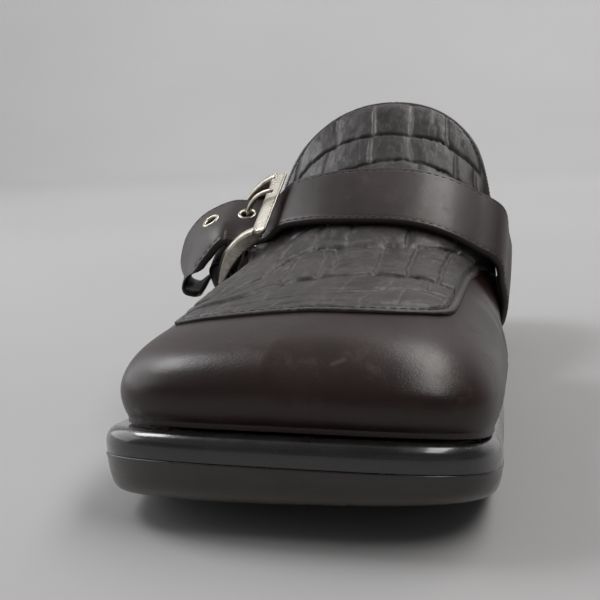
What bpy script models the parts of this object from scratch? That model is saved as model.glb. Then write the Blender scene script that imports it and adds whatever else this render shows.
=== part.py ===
"""Right-foot loafer mule: square toe, embossed plug running on into a tongue, buckled strap over the instep.

The shoe is laid out in shoemaker's terms, in millimetres: x runs from the lateral side (minus) to the medial
side (plus), "along" runs from the toe back to the heel, and height is measured from the floor. place() turns
that into Blender's metres, with the toe towards -Y and the origin on the floor under the middle of the object.
"""

import math

import bmesh
import bpy
import numpy as np

for old in list(bpy.data.objects):
    bpy.data.objects.remove(old, do_unlink=True)

# ---------------------------------------------------------------- driving dimensions, millimetres
MM = 0.001
LENGTH = 262.0            # outsole, toe to back of heel
MIDDLE_X = -11.2          # middle of the object's width, strap tip included, from the shoe's axis
GAP = 0.3                 # clearance left between pieces that touch

TOE_DEPTH = 34.0          # from the toe's front edge to where the square toe has opened to full width
TOE_SQUARE = 3.8          # exponent of the toe's outline: 2 is round, more is squarer
HEEL_DEPTH = 36.0         # the same two for the back of the seat
HEEL_SQUARE = 2.15

OUTSOLE_THICK = 8.5
MIDSOLE_THICK = 7.0
INSOLE_THICK = 3.0
UPPER_WALL = 2.2          # leather and lining together
PLUG_THICK = 1.6
STRAP_THICK = 2.2
STRAP_WIDTH = 26.0
STRAP_TILT = 33.5         # degrees that the strap's width leans back along the instep
STRAP_SKEW = 1.8          # how far forward its medial end runs

GIRTH_FRONT = 2.5         # from the sole's front edge back to the upper's widest line
FEATHER_INSIDE = 2.0      # the least that the upper's foot stands inside the sole's edge
TUCK = 2.2                # how far the upper draws in again from its widest line down to its foot
TUCK_HEIGHT = 9.0
TOE_SLOPE = 0.18          # how much the ridge falls from the plug's front to the toe
FALL_MEDIAL = 0.9         # share of that fall on the medial side
TWIST = 2.6               # how much more the sole's underside springs at its inner front corner

HEEL_BREAST = 192.0       # front face of the heel at its top, from the toe
HEEL_RAKE = 6.0           # how far back that face leans down to the floor
HEEL_TAPER = 3.0          # how much narrower the heel is all round at the floor

COLLAR_RIDGE = 125.0      # the shell's rear edge on the instep ridge, and down at the sole
COLLAR_SOLE = 160.0

# The sole's edge on each side, and the height of its underside.
SOLE_COLUMNS = ("along", "lateral", "medial", "underside")
SOLE = (
    (0.0, 47.5, 43.8, 9.0),
    (20.0, 47.8, 43.8, 4.9),
    (45.0, 49.0, 42.4, 1.4),
    (66.0, 50.1, 41.5, 0.0),
    (86.0, 50.1, 40.4, 0.0),
    (105.0, 48.4, 38.2, 1.6),
    (130.0, 43.7, 32.4, 7.6),
    (160.0, 37.5, 27.8, 19.5),
    (190.0, 34.3, 29.0, 29.6),
    (225.0, 33.6, 31.6, 35.2),
    (262.0, 33.0, 31.0, 37.5),
)

# The upper's widest line on each side, the ridge of its outer face, how round its section is, and how much it
# falls away from the ridge to the sides.
UPPER_COLUMNS = ("along", "lateral", "medial", "ridge", "crown", "shoulder", "fall")
UPPER = (
    (0.0, 44.6, 43.6, 43.6, 3.6, 2.8, 0.20),
    (34.0, 45.4, 43.6, 45.6, 4.0, 3.2, 0.20),
    (60.0, 47.0, 43.0, 47.4, 4.0, 3.2, 0.14),
    (82.0, 48.4, 41.8, 49.6, 3.6, 2.8, 0.07),
    (94.0, 48.2, 40.8, 52.4, 2.9, 2.3, 0.02),
    (102.0, 47.4, 40.0, 56.6, 2.5, 2.0, 0.0),
    (125.0, 44.0, 38.0, 71.4, 2.4, 2.0, 0.0),
    (150.0, 39.0, 34.6, 92.4, 2.4, 2.0, 0.0),
    (165.0, 36.4, 32.0, 100.0, 2.4, 2.0, 0.0),
)

# The plug's edge on each side, from the front corners back to the tongue's end.
PLUG_COLUMNS = ("along", "lateral", "medial")
PLUG = (
    (32.0, 37.0, 31.6),
    (60.0, 36.4, 32.4),
    (88.0, 35.4, 32.2),
    (102.0, 34.6, 31.6),
    (122.0, 34.8, 35.4),
    (152.0, 35.2, 36.4),
)
PLUG_FRONT = 31.0         # front seam
PLUG_CORNER = 13.0        # depth of the front corners
MEDIAL_CORNER = 15.0
PLUG_SQUARE_LATERAL = 5.0
PLUG_SQUARE_MEDIAL = 2.7
TONGUE_TOP = 152.0
TONGUE_ROUND = 36.0       # depth of the tongue's rounded end
TONGUE_SQUARE = 2.2
TONGUE_DROP = 7.5         # how much lower the tongue's sides are than its middle
TONGUE_FROM = 117.0       # the tongue leaves the shell between these two
TONGUE_FREE = 140.0

# The strap's free end: middle of its thickness, its width's lean, and its width there.
STRAP_END_COLUMNS = ("x", "along", "height", "tilt", "width")
STRAP_END = (
    (-33.2, 113.6, 59.0, 32.0, 22.6),
    (-41.3, 114.2, 58.6, 28.0, 22.4),
    (-47.5, 114.0, 58.8, 25.0, 22.8),
    (-53.2, 112.8, 56.0, 22.0, 24.2),
    (-57.4, 111.4, 50.7, 20.0, 24.6),
    (-59.6, 110.4, 45.4, 18.5, 24.0),
    (-59.8, 109.7, 41.2, 17.5, 23.0),
    (-58.2, 109.4, 38.6, 17.0, 21.5),
    (-55.9, 109.3, 37.8, 17.0, 18.0),
    (-54.2, 109.3, 37.8, 17.0, 14.0),
)

STRAP_TURN = 0.4          # how far the free end's rear edge swings out, per width

EYELET_SPACING = 11.0
EYELET_SIDE = 2.0         # how far behind the strap's middle line
EYELET_HOLE = 2.1         # radius
EYELET_FLANGE = 3.1       # radius
EYELET_THICK = 0.7

BUCKLE_LENGTH = 30.0      # across the strap, outside
BUCKLE_SIDE = -1.2        # from the strap's middle to the buckle's
BUCKLE_SKEW = 0.035       # how far the buckle's rear end is turned inwards, per length
RAIL_THICK = 2.9          # of each side rail, along the same direction
FAR_BAR = (-32.5, -7.4)   # (x, lift) of the bar that the strap runs under
HINGE_BAR = (-48.1, -27.0)
FAR_BAR_SIZE = (5.4, 3.0)
HINGE_BAR_RADIUS = 1.3
RAIL_BULGE = 2.3          # how far the rails arch outwards from the line between the bars
RAIL_COLUMNS = ("share", "depth")
RAIL = ((0.0, 3.9), (0.22, 5.2), (0.5, 5.0), (0.85, 3.4), (1.0, 2.4))
CHAPE_FOOT = (-47.8, -56.0)   # lift of the chape's lower edge, front and rear, just above the sole
STRAP_FOOT = (-47.6, -57.0)   # and of the strap's inner end
PRONG_RADIUS = 1.0
PRONG_SIDE = 2.6          # how far behind the buckle's middle it sits


# ---------------------------------------------------------------- tables and frames
def column(columns, rows, name):
    """A smooth curve through one column of a table, without overshoot, held level past its ends."""
    at = np.array([row[0] for row in rows])
    value = np.array([row[columns.index(name)] for row in rows])
    step = np.diff(at)
    slope = np.diff(value) / step
    tangent = np.zeros(len(at))
    rising = slope[:-1] * slope[1:] > 0
    tangent[1:-1][rising] = 2 * slope[:-1][rising] * slope[1:][rising] / (slope[:-1] + slope[1:])[rising]
    tangent[0], tangent[-1] = slope[0], slope[-1]

    def curve(where):
        where = np.clip(np.asarray(where, float), at[0], at[-1])
        i = np.clip(np.searchsorted(at, where, side="right") - 1, 0, len(step) - 1)
        t = (where - at[i]) / step[i]
        return (
            (2 * t**3 - 3 * t**2 + 1) * value[i]
            + (t**3 - 2 * t**2 + t) * step[i] * tangent[i]
            + (3 * t**2 - 2 * t**3) * value[i + 1]
            + (t**3 - t**2) * step[i] * tangent[i + 1]
        )

    return curve


SOLE_EDGE = {-1: column(SOLE_COLUMNS, SOLE, "lateral"), 1: column(SOLE_COLUMNS, SOLE, "medial")}
UNDERSIDE = column(SOLE_COLUMNS, SOLE, "underside")
GIRTH = {-1: column(UPPER_COLUMNS, UPPER, "lateral"), 1: column(UPPER_COLUMNS, UPPER, "medial")}
RIDGE = column(UPPER_COLUMNS, UPPER, "ridge")
CROWN = column(UPPER_COLUMNS, UPPER, "crown")
SHOULDER = column(UPPER_COLUMNS, UPPER, "shoulder")
FALL = column(UPPER_COLUMNS, UPPER, "fall")
PLUG_EDGE = {-1: column(PLUG_COLUMNS, PLUG, "lateral"), 1: column(PLUG_COLUMNS, PLUG, "medial")}


def blend(low, high, value):
    """0 below low, 1 above high, easing between."""
    t = np.clip((np.asarray(value, float) - low) / (high - low), 0, 1)
    return t * t * (3 - 2 * t)


def place(points):
    """Shoemaker's millimetres to Blender's metres."""
    out = np.array(points, float)
    out[..., 0] -= MIDDLE_X
    out[..., 1] -= LENGTH / 2
    return out * MM


def strap_frame(x, lift, across):
    """A point given across the strap's run: x, lift off the instep, and the place along the strap's width."""
    lean = math.radians(STRAP_TILT)
    x, lift, across = np.broadcast_arrays(*(np.asarray(v, float) for v in (x, lift, across)))
    along = across * math.cos(lean) - lift * math.sin(lean)
    height = across * math.sin(lean) + lift * math.cos(lean)
    return np.stack([x, along, height], axis=-1)


def to_strap_frame(points):
    lean = math.radians(STRAP_TILT)
    points = np.asarray(points, float)
    lift = points[..., 2] * math.cos(lean) - points[..., 1] * math.sin(lean)
    across = points[..., 1] * math.cos(lean) + points[..., 2] * math.sin(lean)
    return points[..., 0], lift, across


# ---------------------------------------------------------------- mesh helpers
def material(name, colour, roughness, metallic=0.0):
    made = bpy.data.materials.new(name)
    made.use_nodes = True
    shader = made.node_tree.nodes["Principled BSDF"]
    shader.inputs["Base Color"].default_value = (*colour, 1.0)
    shader.inputs["Roughness"].default_value = roughness
    shader.inputs["Metallic"].default_value = metallic
    return made


def add_object(name, mesh_points, faces, surface):
    """One object from points in shoemaker's millimetres, with double points merged and faces turned outwards."""
    built = bmesh.new()
    verts = [built.verts.new(p) for p in place(mesh_points)]
    for face in faces:
        corners = []
        for index in face:
            if verts[index] not in corners:
                corners.append(verts[index])
        if len(corners) > 2:
            built.faces.new(corners)
    bmesh.ops.remove_doubles(built, verts=built.verts, dist=1e-6)
    bmesh.ops.dissolve_degenerate(built, edges=built.edges, dist=1e-7)
    bmesh.ops.recalc_face_normals(built, faces=built.faces)
    mesh = bpy.data.meshes.new(name)
    built.to_mesh(mesh)
    built.free()
    mesh.materials.append(surface)
    mesh.shade_smooth()
    mesh.set_sharp_from_angle(angle=math.radians(35))
    obj = bpy.data.objects.new(name, mesh)
    bpy.context.scene.collection.objects.link(obj)
    return obj


def grid_faces(rows, cols, wrap=False):
    """Quads over a grid of rows by cols points; wrap joins the last column to the first."""
    last = cols if wrap else cols - 1
    return [
        (r * cols + c, r * cols + (c + 1) % cols, (r + 1) * cols + (c + 1) % cols, (r + 1) * cols + c)
        for r in range(rows - 1)
        for c in range(last)
    ]


def loft(name, sections, surface, ladder=False):
    """A closed solid through sections of equal count. Ladder caps join each side of a sole-shaped ring."""
    count = len(sections[0])
    faces = grid_faces(len(sections), count, wrap=True)
    for first in (0, (len(sections) - 1) * count):
        if ladder:
            half = count // 2
            rungs = [(first + i, first + count - 1 - i) for i in range(half)]
            faces += [(a, b, d, c) for (a, b), (c, d) in zip(rungs, rungs[1:])]
        else:
            faces.append(tuple(range(first, first + count)))
    return add_object(name, np.concatenate(sections), faces, surface)


def ribbon(name, middle, width_way, normal, half_widths, thickness, surface, chamfer=0.5):
    """A strip of leather: a rectangular section with broken edges carried along middle."""
    sections = []
    for point, way, up, half in zip(middle, width_way, normal, half_widths):
        edge = min(chamfer, half / 2)
        deep = thickness / 2
        outline = (
            (-half, -deep + edge), (-half + edge, -deep), (half - edge, -deep), (half, -deep + edge),
            (half, deep - edge), (half - edge, deep), (-half + edge, deep), (-half, deep - edge),
        )
        sections.append(np.array([point + a * way + b * up for a, b in outline]))
    return loft(name, sections, surface)


def tube(name, path, radii, side_way, surface, sides=12):
    """A round bar along a path that lies in the plane across side_way."""
    path = np.asarray(path, float)
    along = np.gradient(path, axis=0)
    along /= np.linalg.norm(along, axis=1)[:, None]
    up = np.cross(side_way, along)
    turn = np.arange(sides) * 2 * math.pi / sides
    sections = [
        p + r * (np.outer(np.cos(turn), side_way) + np.outer(np.sin(turn), u))
        for p, r, u in zip(path, radii, up)
    ]
    return loft(name, sections, surface)


def smooth_path(points, count):
    """A Catmull-Rom curve through the points, as count points at even spacing."""
    points = np.asarray(points, float)
    padded = np.vstack([2 * points[0] - points[1], points, 2 * points[-1] - points[-2]])
    dense = []
    for a, b, c, d in zip(padded, padded[1:], padded[2:], padded[3:]):
        for t in np.linspace(0, 1, 24, endpoint=False):
            dense.append(
                0.5 * (2 * b + (c - a) * t + (2 * a - 5 * b + 4 * c - d) * t**2 + (3 * b - a - 3 * c + d) * t**3)
            )
    dense.append(points[-1])
    return even(np.array(dense), count)


def even(points, count):
    """The same polyline as count points at even spacing, measured over its first three columns."""
    length = np.concatenate([[0], np.cumsum(np.linalg.norm(np.diff(points[:, :3], axis=0), axis=1))])
    at = np.linspace(0, length[-1], count)
    return np.stack([np.interp(at, length, points[:, k]) for k in range(points.shape[1])], axis=1)


def cut(obj, cutter_points, cutter_faces, name):
    """Takes a closed cutter out of obj with an exact Boolean."""
    cutter = add_object(name, cutter_points, cutter_faces, obj.data.materials[0])
    cutter.hide_render = True
    cutter.display_type = "WIRE"
    taken = obj.modifiers.new(name, "BOOLEAN")
    taken.operation = "DIFFERENCE"
    taken.solver = "EXACT"
    taken.object = cutter


# ---------------------------------------------------------------- the sole
def sole_stations():
    """Places along the sole and the share of full width there, toe to heel."""
    turn = np.radians(np.linspace(0, 90, 15))
    toe = [(TOE_DEPTH * (1 - math.cos(t) ** (2 / TOE_SQUARE)), math.sin(t) ** (2 / TOE_SQUARE)) for t in turn]
    body = [(s, 1.0) for s in np.linspace(TOE_DEPTH, LENGTH - HEEL_DEPTH, 22)[1:-1]]
    heel = [
        (LENGTH - HEEL_DEPTH * (1 - math.cos(t) ** (2 / HEEL_SQUARE)), math.sin(t) ** (2 / HEEL_SQUARE))
        for t in turn[::-1]
    ]
    return toe + body + heel


def sole_ring(inset_of, height_of, ring=None):
    """A ring round the sole, lateral side toe to heel and back along the medial side.

    inset_of(x_share, y_share) gives the inset for an outward direction; height_of(along) the height.
    """
    if ring is None:
        ring = SOLE_RING
    outward = ring_normals(ring)
    inset = np.array([inset_of(nx, ny, s) for (nx, ny), s in zip(outward, ring[:, 1])])
    moved = ring - outward * inset[:, None]
    return np.column_stack([moved, height_of(moved[:, 1])])


def ring_normals(ring):
    ahead = np.roll(ring, -1, axis=0) - np.roll(ring, 1, axis=0)
    normal = np.column_stack([ahead[:, 1], -ahead[:, 0]])
    normal /= np.linalg.norm(normal, axis=1)[:, None]
    middle = ring.mean(axis=0)
    return normal if ((ring - middle) * normal).sum() > 0 else -normal


def full_ring():
    stations = sole_stations()
    lateral = [(-share * SOLE_EDGE[-1](s), s) for s, share in stations]
    medial = [(share * SOLE_EDGE[1](s), s) for s, share in stations]
    lateral[0] = (lateral[0][0] - 1.5, 0.0)
    medial[0] = (medial[0][0] + 1.5, 0.0)
    lateral[-1] = (lateral[-1][0] - 1.0, LENGTH)
    medial[-1] = (medial[-1][0] + 1.0, LENGTH)
    return np.array(lateral + medial[::-1])


SOLE_RING = full_ring()


def slab(name, levels, base_of, surface, ring=None):
    """A piece of sole from (height above base, inset) levels."""
    sections = [
        sole_ring(lambda nx, ny, s, inset=inset: inset, lambda s, up=up: base_of(s) + up, ring)
        for up, inset in levels
    ]
    return loft(name, sections, surface, ladder=True)


def twisted(section, share):
    """The section with its inner front corner lifted, by share of TWIST."""
    inward = np.clip((section[:, 0] + 20) / 60, 0, 1) ** 1.5
    section[:, 2] += share * TWIST * inward * (1 - blend(12, 50, section[:, 1]))
    return section


def midsole_base(along):
    return UNDERSIDE(along) + OUTSOLE_THICK + GAP


def midsole_top(along):
    return midsole_base(along) + MIDSOLE_THICK - GAP


def add_outsole(surface):
    levels = ((0.0, 3.0), (0.9, 1.6), (2.6, 0.7), (7.4, 0.0), (OUTSOLE_THICK, 0.6))
    sections = []
    for up, inset in levels:
        ring = sole_ring(lambda nx, ny, s, inset=inset: inset, lambda s, up=up: UNDERSIDE(s) + up)
        sections.append(twisted(ring, 1 - up / OUTSOLE_THICK))
    return loft("outsole", sections, surface, ladder=True)


def add_midsole(surface):
    thick = MIDSOLE_THICK - GAP
    levels = ((0.0, 0.6), (0.9, 0.0), (4.2, 0.1), (5.7, 0.8), (thick, 2.4))
    return slab("midsole", levels, midsole_base, surface)


def add_heel(surface):
    """The block under the seat: its top follows the outsole, its walls draw in towards the floor."""
    edge = SOLE_RING[SOLE_RING[:, 1] > HEEL_BREAST + 4]
    half = len(edge) // 2
    breast = [(side * SOLE_EDGE[side](HEEL_BREAST), HEEL_BREAST) for side in (-1, 1)]
    ring = np.vstack([breast[0], edge[:half], edge[half:], breast[1]])
    back = (ring[:, 1] - HEEL_BREAST) / (LENGTH - HEEL_BREAST)
    sections = []
    for share, more in ((0.0, 1.0), (0.03, 0.0), (0.5, 0.0), (1.0, 0.0)):
        inset = 1.0 + more + HEEL_TAPER * (1 - share)
        front = HEEL_BREAST + more + HEEL_RAKE * (1 - share)
        wide = ring[:, 0] * (1 - inset / np.abs(ring[:, 0]).max())
        along = front + back * (LENGTH - inset - front)
        top = UNDERSIDE(along) - GAP
        sections.append(np.column_stack([wide, along, top * share]))
    return loft("heel", sections, surface, ladder=True)


def add_insole(surface):
    """Sock and board: inside the shell in front, out to near the edge where the back is open."""
    def inset(nx, ny, s, more=0.0):
        side = -1 if nx < 0 else 1
        beside = SOLE_EDGE[side](s) - feather_edge(side, s)
        inside = abs(nx) * beside + abs(ny) * (GIRTH_FRONT + TUCK) + UPPER_WALL + 0.8
        opened = blend(COLLAR_SOLE + 1, COLLAR_SOLE + 24, s)
        return inside + (2.6 - inside) * opened + more

    def top(s):
        return midsole_top(s) + GAP

    levels = ((0.0, 0.0), (INSOLE_THICK - 0.7, 0.0), (INSOLE_THICK, 0.8))
    sections = [
        sole_ring(lambda nx, ny, s, more=more: inset(nx, ny, s, more), lambda s, up=up: top(s) + up)
        for up, more in levels
    ]
    return loft("insole", sections, surface, ladder=True)


# ---------------------------------------------------------------- the upper
def feather_edge(side, along):
    """How far out the foot of the upper is: drawn in from its widest line, and kept on the sole."""
    return np.minimum(GIRTH[side](along) - TUCK, SOLE_EDGE[side](along) - FEATHER_INSIDE)


def shell_base(along):
    """Height of the upper's lower edge, just clear of the midsole."""
    return midsole_top(along) + GAP


def toe_share(along):
    """0 from the full width back, 1 at the very front of the upper's widest line."""
    return np.clip((TOE_DEPTH - np.asarray(along, float)) / (TOE_DEPTH - GIRTH_FRONT), 0, None)


def shell_height(x, along):
    """Height of the shell's outer face over a place in plan."""
    x, along = np.broadcast_arrays(np.asarray(x, float), np.asarray(along, float))
    width = np.where(x < 0, GIRTH[-1](along), GIRTH[1](along))
    out = (np.abs(x / width) ** TOE_SQUARE + toe_share(along) ** TOE_SQUARE) ** (1 / TOE_SQUARE)
    lateral = x < 0
    fall = FALL(along) * np.where(lateral, 1.0, FALL_MEDIAL)
    squared = CROWN(along) + fall * np.where(lateral, 20, 6)
    rise = (1 - np.clip(out, 0, 1) ** squared) ** (1 / SHOULDER(along))
    rise *= 1 - fall * np.clip(np.abs(x / width), 0, 1) ** np.where(lateral, 1.3, 2.0)
    rise *= 1 - TOE_SLOPE * toe_share(along) ** 2.2
    base = shell_base(along)
    return base + (RIDGE(along) - base) * rise


def collar(share):
    """The shell's rear edge, from the ridge (0) out and down to the sole (1)."""
    return COLLAR_RIDGE + (COLLAR_SOLE - COLLAR_RIDGE) * share**2.4


def shell_ribs():
    """(side, share of width, place along as a function of how far out) for each rib, round the toe."""
    turn = np.radians(np.linspace(90, 0, 13))
    rear = np.linspace(1, 0, 9)
    mid_from = 92.0
    ribs = []
    for f in rear:
        ribs.append((1.0, lambda out, f=f: mid_from + f * (collar(out) - mid_from), 1.0))
    for s in np.linspace(mid_from, TOE_DEPTH, 9)[1:-1]:
        ribs.append((1.0, lambda out, s=s: s + 0 * out, 1.0))
    for t in turn:
        depth = math.cos(t) ** (2 / TOE_SQUARE) if t < math.pi / 2 - 1e-9 else 0.0
        wide = math.sin(t) ** (2 / TOE_SQUARE) if t > 1e-9 else 0.0
        ribs.append((wide, lambda out, depth=depth: TOE_DEPTH - out * depth * (TOE_DEPTH - GIRTH_FRONT), wide))
    return [(-1, wide, along) for wide, along, _ in ribs] + [(1, wide, along) for wide, along, _ in ribs[-2::-1]]


def drawn_in(side, wide, along, height):
    """How far a point near the foot of the wall is drawn in from the widest line."""
    deep = GIRTH[side](along) - feather_edge(side, along) if wide > 0.999 else TUCK
    tall = TUCK_HEIGHT + 12 * blend(100, 140, along)
    low = 1 - np.clip((height - shell_base(along) - 1.2) / tall, 0, 1)
    return deep * low**2


def shell_grid(rises):
    """Points of the shell's outer face: a row for each rib, from the feather edge up to the ridge."""
    grid = []
    for side, wide, along_of in shell_ribs():
        rib = []
        for rise in rises:
            turn = rise * math.pi / 2
            out = math.cos(turn) ** (2 / 3.5) if rise < 1 else 0.0
            along = float(along_of(out))
            edge = float(GIRTH[side](along))
            x = side * wide * out * edge
            height = float(shell_height(x, along))
            ahead = (1 - wide**TOE_SQUARE) ** (1 / TOE_SQUARE) if wide < 1 else 0.0
            pull = float(drawn_in(side, wide, along, height)) if out > 0.5 else 0.0
            steer = math.hypot(wide, ahead)
            rib.append((x - side * pull * wide / steer, along + pull * ahead / steer, height))
        grid.append(rib)
    return np.array(grid)


SHELL_RISES = (0.0, 0.008, 0.03, 0.07, 0.13, 0.21, 0.30, 0.40, 0.52, 0.66, 0.82, 1.0)


def add_upper(surface):
    grid = shell_grid(SHELL_RISES)
    rows, cols = grid.shape[:2]
    obj = add_object("upper", grid.reshape(-1, 3), grid_faces(rows, cols), surface)
    face_up(obj)
    wall = obj.modifiers.new("wall", "SOLIDIFY")
    wall.thickness = UPPER_WALL * MM
    wall.offset = -1
    wall.use_even_offset = False
    return obj


def face_up(obj):
    """Turns an open sheet so that its faces look away from the foot."""
    highest = max(obj.data.polygons, key=lambda p: abs(p.normal.z) * p.area)
    if highest.normal.z < 0:
        obj.data.flip_normals()


# ---------------------------------------------------------------- plug and tongue
def plug_face(x, along):
    """Points on the outer face of the plug and tongue over places in plan."""
    x, along = np.broadcast_arrays(np.asarray(x, float), np.asarray(along, float))

    def under(x, along):
        bedded = shell_height(x, along)
        tongue = RIDGE(along) - TONGUE_DROP * (x / 34.0) ** 2
        free = blend(TONGUE_FROM, TONGUE_FREE, along)
        return bedded * (1 - free) + np.maximum(tongue, bedded) * free

    d = 0.4
    slope_x = (under(x + d, along) - under(x - d, along)) / (2 * d)
    slope_s = (under(x, along + d) - under(x, along - d)) / (2 * d)
    size = np.sqrt(1 + slope_x**2 + slope_s**2)
    off = PLUG_THICK + GAP + 0.15
    return np.stack([x - slope_x / size * off, along - slope_s / size * off, under(x, along) + off / size], axis=-1)


def plug_outline():
    """(edge point, spine point) pairs in plan round the plug: front corners, sides, tongue's end."""
    back = TONGUE_TOP - TONGUE_ROUND
    turn = np.radians(np.linspace(0, 90, 10))
    pairs = []
    for side, square, deep in ((-1, PLUG_SQUARE_LATERAL, PLUG_CORNER), (1, PLUG_SQUARE_MEDIAL, MEDIAL_CORNER)):
        front = PLUG_FRONT + deep
        half = []
        for t in turn:
            along = front - deep * abs(math.cos(t)) ** (2 / square)
            half.append((side * math.sin(t) ** (2 / square) * PLUG_EDGE[side](along), along, front))
        for s in np.linspace(front, back, 13)[1:-1]:
            half.append((side * PLUG_EDGE[side](s), s, s))
        for t in turn[::-1]:
            along = back + TONGUE_ROUND * abs(math.cos(t)) ** (2 / TONGUE_SQUARE)
            half.append((side * math.sin(t) ** (2 / TONGUE_SQUARE) * PLUG_EDGE[side](along), along, back))
        pairs.append(half)
    return pairs[0] + pairs[1][-2:0:-1]


def add_plug(surface):
    shares = (1.0, 0.94, 0.84, 0.7, 0.52, 0.34, 0.17, 0.0)
    grid = []
    for x, along, spine in plug_outline():
        grid.append([plug_face(share * x, spine + share * (along - spine)) for share in shares])
    grid = np.array(grid)
    grid = np.vstack([grid, grid[:1]])
    rows, cols = grid.shape[:2]
    obj = add_object("plug_tongue", grid.reshape(-1, 3), grid_faces(rows, cols), surface)
    face_up(obj)
    wall = obj.modifiers.new("thickness", "SOLIDIFY")
    wall.thickness = PLUG_THICK * MM
    wall.offset = -1
    return obj


# ---------------------------------------------------------------- strap
def strap_middle():
    """Place along the strap's width of its middle line, from where it crosses the ridge."""
    ridge_along = 111.3
    _, _, across = to_strap_frame((0.0, ridge_along, float(RIDGE(ridge_along)) + PLUG_THICK + 2 * GAP))
    return float(across)


def convex_hull(points):
    points = sorted(set(map(tuple, np.round(points, 3))))

    def chain(ordered):
        kept = []
        for p in ordered:
            while len(kept) > 1:
                (ax, ay), (bx, by) = kept[-2], kept[-1]
                if (bx - ax) * (p[1] - ay) - (by - ay) * (p[0] - ax) > 0:
                    break
                kept.pop()
            kept.append(p)
        return kept

    return np.array(chain(points)[:-1] + chain(points[::-1])[:-1])


def strap_bed():
    """The taut line round the instep, as (x, lift), from the medial feather edge over to the lateral side."""
    shell = shell_grid(np.linspace(0, 1, 60)).reshape(-1, 3)
    places = np.array([(x, s) for s in np.arange(95, 145, 1.0) for x in np.linspace(-33.5, 34.5, 41)])
    plug = plug_face(places[:, 0], places[:, 1])
    cloud = np.vstack([shell, plug])
    x, lift, across = to_strap_frame(cloud)
    near = np.abs(across - strap_middle()) < STRAP_WIDTH / 2 + 3.5
    hull = convex_hull(np.column_stack([x[near], lift[near]]))
    start = int(np.argmin(hull[:, 1] - 0.4 * hull[:, 0]))
    hull = np.roll(hull, -start, axis=0)
    stop = int(np.argmax(hull[:, 0] < -27.0))
    return hull[:stop]


def strap_stations(count=64):
    """Middle, width direction, outward direction and width of the strap at even steps."""
    bed = strap_bed()
    bed = even(np.column_stack([bed, np.zeros(len(bed))]), 40)[:, :2]
    step = np.gradient(bed, axis=0)
    outward = np.column_stack([step[:, 1], -step[:, 0]])
    outward /= np.linalg.norm(outward, axis=1)[:, None]
    middle = bed + outward * (GAP + 0.4 + STRAP_THICK / 2)
    across = strap_middle() - STRAP_SKEW * blend(4, 40, middle[:, 0])
    over = strap_frame(middle[:, 0], middle[:, 1], across)
    ends = np.array(STRAP_END)
    narrowed = STRAP_WIDTH - ends[0, 4]
    rows = [(*p, STRAP_TILT, STRAP_WIDTH - narrowed * blend(0, 30, -p[0])) for p in over[::3]]
    path = smooth_path(np.vstack([rows, ends]), count)
    forward = np.gradient(path[:, :3], axis=0)
    forward /= np.linalg.norm(forward, axis=1)[:, None]
    lean = np.radians(path[:, 3])
    way = np.column_stack([-STRAP_TURN * blend(46, 57, -path[:, 0]), np.cos(lean), np.sin(lean)])
    way -= forward * (way * forward).sum(axis=1)[:, None]
    way /= np.linalg.norm(way, axis=1)[:, None]
    normal = np.cross(way, forward)
    if normal[count // 3, 2] < 0:
        normal = -normal
    return path[:, :3], way, normal, path[:, 4] / 2


def trim_foot(obj, foot, sides, name):
    """Cuts a strap's lower end off on the slant of the sole, between two places across the shoe."""
    middle = strap_middle()
    front, rear = middle - 16, middle + 16
    outline = np.array([(foot[0], front), (foot[1], rear), (-90, rear), (-90, front)])
    ends = [strap_frame(x, outline[:, 0], outline[:, 1]) for x in sides]
    faces = grid_faces(2, 4, wrap=True) + [(0, 1, 2, 3), (4, 5, 6, 7)]
    cut(obj, np.concatenate(ends), faces, name)


def eyelet_places():
    """(middle, axis, width direction) of each eyelet on the strap, counted from the buckle outwards."""
    path, way, normal, _ = strap_stations()
    length = np.concatenate([[0], np.cumsum(np.linalg.norm(np.diff(path, axis=0), axis=1))])
    pierced = np.interp(41.3, -path[20:, 0], length[20:])
    places = []
    for k in (0, 1):
        at = pierced + k * EYELET_SPACING
        pick = lambda field: np.array([np.interp(at, length, field[:, i]) for i in range(3)])
        axis = pick(normal)
        across = pick(way) / np.linalg.norm(pick(way))
        places.append((pick(path) + EYELET_SIDE * across, axis / np.linalg.norm(axis), across))
    return places


def disc_frame(axis, way):
    side = np.cross(axis, way)
    side /= np.linalg.norm(side)
    return np.cross(side, axis), side


def add_strap(surface):
    path, way, normal, half = strap_stations()
    obj = ribbon("strap", path, way, normal, half, STRAP_THICK, surface)
    trim_foot(obj, STRAP_FOOT, (15, 60), "strap_foot")
    sides = 16
    turn = np.arange(sides) * 2 * math.pi / sides
    for k, (middle, axis, across) in enumerate(eyelet_places()):
        u, w = disc_frame(axis, across)
        circle = np.outer(np.cos(turn), u) + np.outer(np.sin(turn), w)
        ends = [middle + EYELET_HOLE * circle + axis * reach for reach in (-4.0, 4.0)]
        faces = grid_faces(2, sides, wrap=True) + [tuple(range(sides)), tuple(range(sides, 2 * sides))]
        cut(obj, np.concatenate(ends), faces, f"eyelet_cutter_{k + 1}")
    return obj


def add_eyelets(surface):
    """Flat metal rings on the strap's outer face, round each hole."""
    sides = 20
    turn = np.arange(sides) * 2 * math.pi / sides
    for k, (middle, axis, across) in enumerate(eyelet_places()):
        u, w = disc_frame(axis, across)
        circle = np.outer(np.cos(turn), u) + np.outer(np.sin(turn), w)
        low = STRAP_THICK / 2 + GAP + 0.6
        outline = (
            (EYELET_HOLE + 0.1, low), (EYELET_FLANGE, low), (EYELET_FLANGE - 0.3, low + EYELET_THICK),
            (EYELET_HOLE + 0.4, low + EYELET_THICK),
        )
        rings = np.concatenate([middle + r * circle + axis * up for r, up in outline])
        faces = grid_faces(4, sides, wrap=True)
        faces += [(i, (i + 1) % sides, 3 * sides + (i + 1) % sides, 3 * sides + i) for i in range(sides)]
        add_object(f"eyelet_{k + 1}", rings, faces, surface)


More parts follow.
